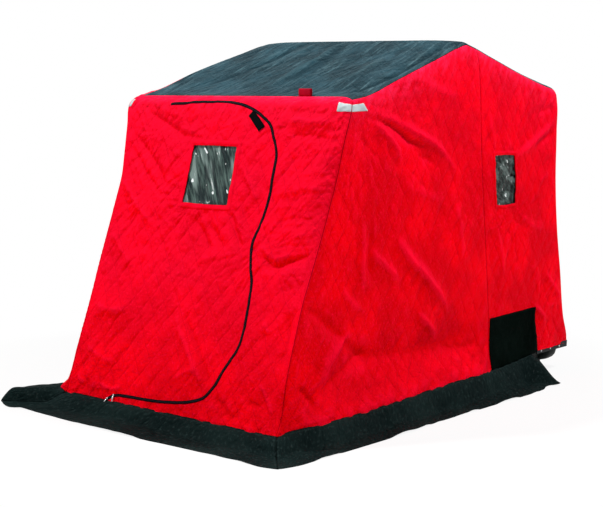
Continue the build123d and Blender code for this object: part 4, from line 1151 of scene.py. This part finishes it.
aside = unit(np.cross(unit(np.gradient(path, axis=0)), facing))
side = np.where(np.arange(len(path)) % 2, TOOTH_ASIDE, -TOOTH_ASIDE)[:, None]
tooth = bar(0.0022, 0.0012, 0.0021, 0.0006)
teeth = [set_down(tooth, *at) for at in zip(path + facing * TOOTH_LIFT + aside * side, aside, facing)]
piece("zip_teeth", *merged(teeth), ZIP_TEETH, "zip_tape", smooth=False)

# The two sliders at the zip's foot, with their pulls
SLIDER_HEIGHT, SLIDER_BEVEL = 0.0045, 0.0012
GRIP_WIDTH, GRIP_THICK = 0.0085, 0.0018
wide = oval(0.016, 0.010)
small = wide * (1 - SLIDER_BEVEL / np.linalg.norm(wide, axis=1, keepdims=True))
slider = stacked((small, 0), (wide, SLIDER_BEVEL), (wide, SLIDER_HEIGHT - SLIDER_BEVEL), (small, SLIDER_HEIGHT))
bridge = bar(0.0045, 0.0016, 0.0040, 0.0012)
metal, drops = [], []
points, normals = front.place([-0.392, -0.352], [0.006, 0.028])
for point, normal, toward, length in zip(points, unit(normals), ((-0.56, -0.10, -0.82), (0.05, -0.22, -0.97)),
                                         (0.042, 0.030)):
    drop = point + normal * 0.010 + unit(np.array(toward)) * 0.003
    outer, inner = oval(length, GRIP_WIDTH, shift=length / 2), oval(length * 0.30, 0.0045, shift=length * 0.76)
    grip = stacked((outer, 0), (outer, GRIP_THICK), (inner, GRIP_THICK), (inner, 0), hollow=True)
    for shape, centre in ((slider, point + normal * 0.0035), (bridge, point + normal * 0.0078), (grip, drop)):
        metal.append(set_down(shape, centre, toward, normal))
    drops.append((drop, unit(np.array(toward)) * length, normal))
piece("zip_pulls", *merged(metal), PULL_METAL, "zip_pull", ["zipper_pulls"])

# The cloth tail on the longer pull, a cord whose thickness varies
TAIL_STEPS, TAIL_SIDES, TAIL_RADIUS = 18, 10, 0.0042
drop, run, normal = drops[0]
path = through(drop + run * 0.80 + [(0, 0, 0), (-0.012, -0.006, -0.010), (-0.022, -0.010, -0.024),
                                    (-0.026, -0.013, -0.040)], TAIL_STEPS)
size = np.interp(np.linspace(0, 1, TAIL_STEPS), (0, 0.12, 0.3, 0.8, 1), (0.5, 1.0, 0.85, 1.0, 0.55))
around = 2 * math.pi * np.arange(TAIL_SIDES) / TAIL_SIDES
section = np.stack([np.cos(around), np.sin(around)], 1) * TAIL_RADIUS
points, faces = swept(path, np.repeat([normal], TAIL_STEPS, 0), section)
points = path[:, None] + (points.reshape(TAIL_STEPS, TAIL_SIDES, 3) - path[:, None]) * size[:, None, None]
piece("zip_pull_tail", points.reshape(-1, 3), faces, ZIP_TAPE, "zip_tape")


def between(corners, s, t):
    """The points that span four corners, at the shares s and t."""
    c = np.asarray(corners, float)
    return (1 - t) * ((1 - s) * c[0] + s * c[1]) + t * ((1 - s) * c[3] + s * c[2])


def patch_on(panel, corners, name, material, slot, nodes, lift, thickness, counts, curl=None, flat=None,
             to_hem=False):
    """A patch of cloth or tape on a panel, spanned between four corners given in the panel's flat coordinates.
    to_hem brings its lower edge down to the panel's hem."""
    u, v = np.linspace(0, 1, counts[0]), np.linspace(0, 1, counts[1])
    s, t = u[None, :, None], v[:, None, None]
    ab = between(corners, s, t)
    if to_hem:
        drop = np.interp(ab[0, :, 0], panel.flat[0][0], panel.flat[1][0]) + 0.0004 - ab[0, :, 1]
        ab[..., 1] += (1 - v[:, None]) * drop[None, :]
    p, n = panel.place(ab[..., 0].ravel(), ab[..., 1].ravel())
    p, n = p.reshape(*ab.shape[:2], 3), unit(n.reshape(*ab.shape[:2], 3))
    edge = np.minimum.reduce(np.broadcast_arrays(u[None, :], 1 - u[None, :], v[:, None], 1 - v[:, None]))
    height = lift + thickness * np.minimum(1, 0.35 + edge * max(counts) / 2.0)
    if curl is not None:
        height = height + curl(s[..., 0], t[..., 0])
    top = (p + n * height[..., None]).reshape(-1, 3)
    verts, faces, origin = grid_sheet(top, n.reshape(-1, 3), counts[::-1], thickness + lift * 0.8)
    place = ab.reshape(-1, 2)[origin]
    seam = (edge * np.ptp(np.array(corners), axis=0).min()).ravel()[origin]
    obj = piece(name, verts, faces, material, slot, nodes, {"metres": place, "quilt": place, "seam": seam})
    if flat:
        panel_name(panel)


def panel_name(panel):
    for word, (fore, aft) in sides.items():
        if panel in (fore, aft):
            return word + ("_side_front_cloth" if panel is fore else "_side_rear_cloth")
    return "door_cloth"


# The tie tab by the zip's corner, and the reflective tape round the front corners
patch_on(front, ((0.222, 1.486), (0.254, 1.514), (0.160, 1.597), (0.132, 1.566)), "door_tab", FUZZ,
         "hook_and_loop", ["door_tie_tab"], 0.0012, 0.0025, (7, 15),
         curl=lambda s, t: 0.004 * (1 - t) ** 3 + 0.0025 * t**4)
TAPE_LOW, TAPE_HIGH = 1.603, 1.652  # along the front cloth
TAPE_GAP = 0.0015                 # from the tape to the seam
TAPE_SIZE = (0.0008, 0.001, (13, 9))  # its lift, its thickness, and its grid's counts
for word, side, seam, wide in (("right", 1, RIGHT_FRONT_SEAM, 0.062), ("left", -1, LEFT_FRONT_SEAM, 0.020)):
    (x0, y0, z0), (x1, y1, z1) = read(seam, [TAPE_LOW, TAPE_HIGH])
    patch_on(front, ((x0 - side * wide, TAPE_LOW), (x0 - side * TAPE_GAP, TAPE_LOW),
                     (x1 - side * TAPE_GAP, TAPE_HIGH), (x1 - side * wide, TAPE_HIGH)),
             word + "_reflector_front", TAPE, "reflective_tape", [word + "_front_reflector"], *TAPE_SIZE)
    patch_on(sides[word][0], ((y0 + TAPE_GAP, z0), (y0 + 0.125, z0 + 0.006), (y1 + 0.090, z1 + 0.010),
                              (y1 + TAPE_GAP, z1)),
             word + "_reflector_side", TAPE, "reflective_tape", [], *TAPE_SIZE)
for word in sides:
    patch_on(sides[word][1], ((1.949, 0.116), (2.546, 0.164), (2.494, 0.442), (1.948, 0.428)),
             word + "_patch_cloth", PATCH_CLOTH, "black_patch_cloth", [word + "_corner_patch"], 0.0012, 0.003,
             (46, 24), flat=(0.56, 0.31), to_hem=True)

# The loop of webbing on the roof's front seam
LOOP_HEIGHT, LOOP_DEPTH, WEB = 0.040, 0.0075, 0.0016  # the last is the webbing's thickness
loop_x = np.linspace(0.357, 0.436, 9)
base = roof_front.place(loop_x, np.full(9, 0.004))[0].mean(0)
t = np.linspace(-0.5 * math.pi, 1.5 * math.pi, 40)
ring_y = LOOP_DEPTH * np.sign(np.cos(t)) * np.abs(np.cos(t)) ** 0.7
ring_z = np.interp(t, np.array((-0.5, 0, 0.5, 1, 1.5)) * math.pi,
                   (-0.006, 0.55 * LOOP_HEIGHT, LOOP_HEIGHT, 0.55 * LOOP_HEIGHT, -0.006))
ring_z = ring_z + 0.25 * LOOP_HEIGHT * np.cos(t) ** 2 * np.sign(np.sin(t + 0.3))
normal = unit(np.stack([0 * t, np.gradient(ring_z), -np.gradient(ring_y)], 1))
loop = np.array([np.stack([np.full(len(t), x), base[1] + ring_y + wobble, base[2] + ring_z], 1)
                 for x, wobble in zip(loop_x, 0.0012 * np.sin(40 * loop_x))])
verts, faces, _ = grid_sheet(loop.reshape(-1, 3), np.tile(normal, (len(loop_x), 1)), loop.shape[:2], WEB)
piece("roof_loop", verts, faces, RED_WEB, "red_webbing", ["roof_strap_loop"])


# ---- Windows: a creased sheet of clear vinyl behind each opening, and a sewn frame round it
def vinyl_material(name, stretch, turn, dark, light):
    """Clear film, creased, whose dark tone is painted shade: the dark inside seen through it. Its bright
    streaks and glints on the creases are painted highlights, and light scales the painted streaks and the
    gloss.
    """
    look = Look(bpy.data.materials.new(name), dark)
    place = look.uv("metres")
    streaks = look.noise(place, 46.0, 5.0, 0.65, (1.0, stretch, 1.0), turn)
    broad = look.noise(place, 19.0, 2.0, 0.5, (1.0, 1.4 * stretch, 1.0), turn)
    glints = look.noise(place, 34.0, 1.0, 0.5, (1.0, 0.5, 1.0), turn)
    look.tint(look.ramp(streaks, 0.42, 0.64), [c * light for c in (0.075, 0.120, 0.105)])
    look.tint(look.ramp(broad, 0.52, 0.64, 0.0, 0.8), [c * light for c in (0.20, 0.27, 0.25)])
    white = look.times(look.ramp(streaks, 0.60, 0.68), look.ramp(broad, 0.50, 0.60))
    look.tint(look.calc("MAXIMUM", white, look.ramp(glints, 0.70, 0.73)), (0.86, 0.90, 0.90))
    look.dent(streaks, 0.006, 0.9)
    return look.finish({"Roughness": 0.12, "Specular IOR Level": 0.16 * light, "Transmission Weight": 0.10,
                        "IOR": 1.45})


# The side windows' film is a shaded copy of the door's: darker, with dimmer painted streaks.
DOOR_VINYL = vinyl_material("door_vinyl_film", 0.10, -0.50, (0.003, 0.012, 0.013), 1.1)
SIDE_VINYL = vinyl_material("side_vinyl_film", 0.42, -0.9, (0.0, 0.001, 0.001), 0.55)


FILM_OVERLAP = 0.012              # the film's border behind the cloth round an opening
FILM_SINK, FILM_BORDER_SINK = 0.0105, 0.0085  # how far its middle and its border lie behind the cloth


def window(panel, outline, name, node_name, film, seed, streak, depth):
    """A sheet of film behind an opening. Its border follows the cloth, and its middle is flat and creased."""
    low, high = outline.min(0) - FILM_OVERLAP, outline.max(0) + FILM_OVERLAP
    nu, nv = 44, 56
    a, b = np.meshgrid(np.linspace(low[0], high[0], nu), np.linspace(low[1], high[1], nv))
    corner, facing = panel.place([low[0], high[0], high[0], low[0]], [low[1], low[1], high[1], high[1]])
    s, t = (a - low[0]) / (high[0] - low[0]), (b - low[1]) / (high[1] - low[1])
    flat_sheet = between(corner, s[..., None], t[..., None])
    out = unit(facing.mean(0))
    height = depth * crumple(a, b, 0.085, seed, *streak) + 0.5 * depth * crumple(a, b, 0.04, seed + 9, *streak)
    on_cloth = panel.place(a.ravel(), b.ravel())[0].reshape(nv, nu, 3)
    border = np.minimum.reduce([a - low[0], high[0] - a, b - low[1], high[1] - b])
    free = ease((border - FILM_OVERLAP) / 0.030)[..., None]
    creased = flat_sheet + out * (height[..., None] - FILM_SINK)
    top = (on_cloth - out * FILM_BORDER_SINK) * (1 - free) + creased * free
    verts, faces, origin = grid_sheet(top.reshape(-1, 3), np.repeat([out], nu * nv, 0), (nv, nu), 0.0008)
    place = np.stack([a.ravel(), b.ravel()], 1)[origin]
    obj = piece(name, verts, faces, film, "clear_vinyl", [node_name], {"metres": place})
    panel_name(panel)


window(front, DOOR_WINDOW, "door_vinyl", "door_window", DOOR_VINYL, 610, (4.5, 1.95), 0.006)
for word in sides:
    window(sides[word][1], SIDE_WINDOW, word + "_side_vinyl", word + "_side_window", SIDE_VINYL, 640,
           (1.5, 0.8), 0.010)


def window_frame(panel, outline, name, width):
    """The strips of cloth sewn round an opening: the outline carried outward, mitred at the corners."""
    middle = outline.mean(0)
    half = np.ptp(outline, axis=0) / 2
    rings = []
    for share, lift in ((-0.06, -0.004), (-0.06, 0.0006), (0.02, 0.0013), (0.5, 0.0013), (0.97, 0.0011),
                        (1.0, 0.0005), (0.99, -0.002)):
        grown = middle + (outline - middle) * (1 + share * width / half)
        p, n = panel.place(grown[:, 0], grown[:, 1])
        n = unit(n)
        rings.append((p + n * lift, grown, share))
    count = len(outline)
    faces = ring_quads(len(rings), count, closed=True)
    pts = np.vstack([r[0] for r in rings])
    place = np.vstack([r[1] for r in rings])
    seam = np.concatenate([np.full(count, 0.0035 + min(r[2], 1 - r[2]) * width) for r in rings])
    if np.cross(pts[1] - pts[0], pts[2 * count] - pts[0]) @ panel.place(*outline[0])[1][0] < 0:
        faces = [f[::-1] for f in faces]
    piece(name, pts, faces, RED_TRIM, "red_shell_cloth", layers={"metres": place, "quilt": place, "seam": seam})


window_frame(front, DOOR_WINDOW, "door_window_frame", 0.030)
for word in sides:
    window_frame(sides[word][1], SIDE_WINDOW, word + "_window_frame", 0.022)


# ---- Skirts: cloth that falls from the hem and lies out over the ice
SKIRT_THICK, SKIRT_WIDTH = 0.0028, 0.26
SKIRT_END_Y = 2.47                # where the side skirts end
CORNER_RIGHT = (0.925, -0.216, 0.005)
CORNER_LEFT = (-1.000, -0.214, 0.016)
SKIRT_OUTER = {
    "front": (CORNER_LEFT, (-0.955, -0.236, 0.010), (-0.90, -0.246, 0.006), (-0.84, -0.222, 0.012),
              (-0.74, -0.218, 0.005), (-0.60, -0.222, 0.005), (-0.35, -0.238, 0.005), (-0.08, -0.246, 0.006),
              (0.25, -0.240, 0.005), (0.50, -0.232, 0.005), (0.70, -0.226, 0.006), (0.83, -0.238, 0.005),
              CORNER_RIGHT),
    "right": (CORNER_RIGHT, (0.950, -0.13, 0.005), (0.958, 0.10, 0.006), (0.968, 0.45, 0.005),
              (0.968, 0.80, 0.005), (0.962, 1.20, 0.006), (0.972, 1.70, 0.005), (0.976, 2.10, 0.005),
              (0.972, 2.22, 0.006), (0.948, 2.315, 0.010), (0.985, 2.41, 0.014)),
    "left": (CORNER_LEFT, (-0.985, -0.15, 0.084), (-0.975, -0.08, 0.080), (-0.974, 0.0, 0.070),
             (-0.970, 0.12, 0.055), (-0.965, 0.35, 0.030), (-0.960, 0.70, 0.008), (-0.955, 1.20, 0.006),
             (-0.962, 1.70, 0.005), (-0.960, 2.10, 0.006), (-0.965, 2.30, 0.005), (-0.975, 2.41, 0.008)),
}


def skirt(word, hem, seed, rows=30):
    """One strip of the skirt, from the hem line to its outer edge."""
    run = run_along(hem)
    count = int(run[-1] / 0.011)
    share = np.linspace(0, 1, count)
    top = at_runs(share * run[-1], run, hem)
    top = np.vstack([top[:1], softened(top, 8)[1:-1], top[-1:]])
    outer = through(SKIRT_OUTER[word], 6 * count)
    outer = at_runs(share, np.linspace(0, 1, len(outer)), outer)
    side = unit(outer[:, :2] - top[:, :2])
    t = np.linspace(0, 1, rows)
    s = share * run[-1]
    inner_end = (word != "front") * ease((share - 0.93) / 0.07)
    fall = 0.42 + 0.10 * noise(s, 0 * s, 0.25, seed) + 0.62 * inner_end
    rise = ease((outer[:, 2] - 0.02) / 0.05)
    grid = np.zeros((rows, count, 3))
    wander = 0.004 * noise(s, 0 * s, 0.22, seed + 1) + 0.001 * noise(s, 0 * s, 0.05, seed + 2)
    wander[0] = wander[-1] = 0
    for k, x in enumerate(t):
        grid[k, :, :2] = top[:, :2] + (outer[:, :2] - top[:, :2]) * x + side * (wander * x**2)[:, None]
        hang = (top[:, 2] + 0.002) * (1 - ease(x / fall)) + outer[:, 2] * ease(x / fall)
        stiff = top[:, 2] * (1 - x) + outer[:, 2] * x
        grid[k, :, 2] = hang * (1 - rise) + stiff * rise
    a, b = np.broadcast_to(s, (rows, count)), np.broadcast_to((t * SKIRT_WIDTH)[:, None], (rows, count))
    loose = ease(b / 0.07) * np.minimum(1, np.minimum(a, s[-1] - a) / 0.05)
    swell = 0.009 * noise(a - 0.7 * b, b * 0.6, 0.20, seed + 3) + 0.003 * noise(a, b, 0.08, seed + 4)
    crease = 0.010 * crumple(a, b, 0.16, seed + 5, 3.4, 0.75) + 0.004 * crumple(a, b, 0.07, seed + 6, 2.2, -0.6)
    grid[..., 2] += (swell + crease * (1 - 0.7 * ease((b - 0.15) / 0.09))) * loose
    phase = a / 0.045 + 0.8 * noise(a, b * 0.2, 0.12, seed + 7)
    pull = 0.0004 * np.sin(2 * math.pi * phase) * np.exp(-b / 0.05)
    grid[..., 1 if word == "front" else 0] += pull * (1 if word == "right" else -1)
    grid[0] = top + np.c_[-0.004 * side, np.full(count, 0.010)]
    grid[..., 2] = np.maximum(grid[..., 2], SKIRT_THICK + 0.0006)
    normals = unit(np.cross(np.gradient(grid, axis=1), np.gradient(grid, axis=0)))
    if normals[..., 2].mean() < 0:
        normals = -normals
    verts, faces, origin = grid_sheet(grid.reshape(-1, 3), normals.reshape(-1, 3), (rows, count), SKIRT_THICK)
    inner = verts[len(verts) // 2:]
    inner[:, 2] = np.maximum(inner[:, 2], 0.0004)
    edge = np.minimum.reduce([b, SKIRT_WIDTH - b, a, s[-1] - a]).ravel()
    place = np.stack([a.ravel(), b.ravel() + 1.0], 1)[origin]
    node_name = "front_skirt" if word == "front" else word + "_side_skirt"
    obj = piece(word + "_skirt_cloth", verts, faces, BLACK_CLOTH, "black_skirt_cloth", [node_name],
                layers={"metres": place, "quilt": place, "seam": edge[origin]})


skirt("front", front.cloth[0], 700)
for word, seed in (("right", 720), ("left", 740)):
    hem = np.vstack([sides[word][0].cloth[0], sides[word][1].cloth[0][1:]])
    skirt(word, hem[hem[:, 1] < SKIRT_END_Y], seed)

# The sled's stern corners: the moulding swells out there to the rim's edge
STERN_X, STERN_Y = 0.655, 2.822
stern = []
for side in (1, -1):
    rings = []
    for z, grow, shift in ((0.1395, 1.0, 0.0), (0.120, 1.0, 0.0), (0.098, 0.97, 0.003), (0.080, 0.88, 0.009),
                           (0.068, 0.72, 0.018), (0.062, 0.45, 0.030)):
        ring = oval(0.150 * grow, 0.120 * grow, 36, 3.4)
        rings.append((np.stack([side * (STERN_X - shift) + ring[:, 1], STERN_Y - shift + ring[:, 0]], 1), z))
    points, faces = stacked(*rings)
    stern.append((points, [f[::-1] for f in faces]))

# ---- Hard parts: the CAD's own solids, with their finish
SLED_PLASTIC = simple_material("black_moulded_sled", (0.006, 0.009, 0.008), 0.48, specular=0.06,
                               grain=(260.0, 0.0006), wear=(0.07, 0.072, 0.075))
BATTEN_PLASTIC = simple_material("black_batten", (0.006, 0.006, 0.008), 0.42, specular=0.08,
                                 grain=(320.0, 0.0004), wear=(0.05, 0.05, 0.052))
BOW_METAL = simple_material("frame_tube", (0.05, 0.05, 0.052), 0.36, specular=0.5, grain=(500.0, 0.0001),
                            wear=(0.16, 0.155, 0.15))
COLLAR_PLASTIC = simple_material("black_collar", (0.018, 0.018, 0.020), 0.5, grain=(350.0, 0.0005))
BRACKET_METAL = simple_material("bracket_steel", (0.05, 0.05, 0.052), 0.40, specular=0.5, grain=(240.0, 0.0003),
                                wear=(0.18, 0.17, 0.16))
PIN_METAL = simple_material("pin_steel", (0.60, 0.61, 0.63), 0.28, metallic=1.0, grain=(700.0, 0.0001))
FINISHES = {"sled": SLED_PLASTIC, "batten": BATTEN_PLASTIC, "bow": BOW_METAL, "arm": BOW_METAL,
            "collars": COLLAR_PLASTIC, "bracket": BRACKET_METAL, "pins": PIN_METAL}
for name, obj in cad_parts.items():
    for word, finish in FINISHES.items():
        if word in name.split("_"):
            obj.data.materials.clear()
            obj.data.materials.append(finish)


def dome(radius, height, rings=4, count=14):
    """A rivet's or screw's domed head, round the origin."""
    pts = []
    turn = 2 * math.pi * np.arange(count) / count
    for k in range(rings):
        angle = 0.5 * math.pi * k / rings
        r, z = radius * math.cos(angle), height * math.sin(angle)
        pts += [(r * math.cos(t), r * math.sin(t), z) for t in turn]
    pts.append((0, 0, height))
    last = (rings - 1) * count
    tip = [[last + j, last + (j + 1) % count, len(pts) - 1] for j in range(count)]
    return np.array(pts), ring_quads(rings, count) + tip + ring_caps(rings, count)[:1]


BATTEN_X, BATTEN_Y = 0.748, 2.946  # the battens' outer faces
rivet = dome(0.0065, 0.0035)
rivets = [set_down(rivet, (side * BATTEN_X, y, 0.155), Y_AXIS, X_AXIS * side)
          for side in (1, -1) for y in (2.60, 2.72, 2.84)]
rivets += [set_down(rivet, (x, BATTEN_Y, 0.153), X_AXIS, Y_AXIS) for x in np.linspace(-0.66, 0.66, 9)]
piece("sled_stern_corners", *merged(stern), SLED_PLASTIC, "black_sled")
piece("batten_rivets", *merged(rivets), PIN_METAL, "pin_steel")


# ---- Camera, floor and light
camera_data = bpy.data.cameras.new("camera")
camera_data.lens = 79.2
camera_data.sensor_width = 36.0
camera = bpy.data.objects.new("camera", camera_data)
bpy.context.scene.collection.objects.link(camera)
AZIMUTH, PITCH, ROLL = math.radians(37.94), math.radians(6.26), math.radians(1.39)
ahead = Vector((-math.sin(AZIMUTH) * math.cos(PITCH), math.cos(AZIMUTH) * math.cos(PITCH), -math.sin(PITCH)))
level = Vector((math.cos(AZIMUTH), math.sin(AZIMUTH), 0))
above = level.cross(ahead)
right_way = level * math.cos(ROLL) + above * math.sin(ROLL)
up_way = above * math.cos(ROLL) - level * math.sin(ROLL)
turn = Matrix((right_way, up_way, -ahead)).transposed().to_4x4()
camera.matrix_world = Matrix.Translation((4.574, -6.119, 1.622)) @ turn
bpy.context.scene.camera = camera


def show_white(look, shader, share, kind, output):
    """Mixes plain white over a shader, only as the camera, a mirror or a lens sees it."""
    path = look.node("LightPath").outputs
    seen = look.calc("MAXIMUM", path["Is Camera Ray"], path["Is Glossy Ray"])
    seen = look.calc("MAXIMUM", seen, path["Is Transmission Ray"])
    white = look.node(kind, {"Color": (1, 1, 1, 1), "Strength": 1.0})
    mixed = look.node("MixShader", {0: look.times(seen, share), 1: shader.outputs[0], 2: white.outputs[0]})
    look.feed(look.tree.nodes[output], {0: mixed.outputs[0]})


FLOOR_REACH = 60.0
floor_mesh = bpy.data.meshes.new("floor")
floor_mesh.from_pydata([(x * FLOOR_REACH, y * FLOOR_REACH, 0) for x, y in ((-1, -1), (1, -1), (1, 1), (-1, 1))],
                       [], [(0, 1, 2, 3)])
floor = bpy.data.objects.new("floor", floor_mesh)
bpy.context.scene.collection.objects.link(floor)
look = Look(bpy.data.materials.new("pale_floor"), (0.80, 0.80, 0.80, 1))
floor_mesh.materials.append(look.finish({"Roughness": 0.9, "Specular IOR Level": 0.1}))
spot = look.node("NewGeometry").outputs["Position"]
far = look.node("VectorMath", {0: spot}, operation="LENGTH").outputs["Value"]
show_white(look, look.tree.nodes["Principled BSDF"], look.ramp(far, 1.5, 3.2, 0.87, 1.0), "Emission",
           "Material Output")

bpy.context.scene.world = bpy.data.worlds.new("studio")
look = Look(bpy.context.scene.world)
sky = look.feed(look.tree.nodes["Background"], {"Color": (0.96, 0.98, 1.0, 1), "Strength": 0.10})
show_white(look, sky, 1.0, "Background", "World Output")


def soft_light(name, place, target, size, power, colour=(1, 1, 1)):
    data = bpy.data.lights.new(name, "AREA")
    data.shape = "DISK"
    data.size = size
    data.energy = power
    data.color = colour
    lamp = bpy.data.objects.new(name, data)
    bpy.context.scene.collection.objects.link(lamp)
    lamp.location = place
    lamp.rotation_mode = "QUATERNION"
    lamp.rotation_quaternion = (Vector(target) - Vector(place)).to_track_quat("-Z", "Y")


soft_light("key", (-2.5, -3.8, 8.0), (0.0, -1.2, 0.9), 0.8, 740)
soft_light("side", (4.2, 2.2, 7.4), (0.6, 0.5, 0.8), 0.8, 620)
soft_light("fill", (3.5, -6.8, 3.4), (0.2, 0.0, 0.9), 3.0, 60)

bpy.context.scene.view_settings.view_transform = "Standard"
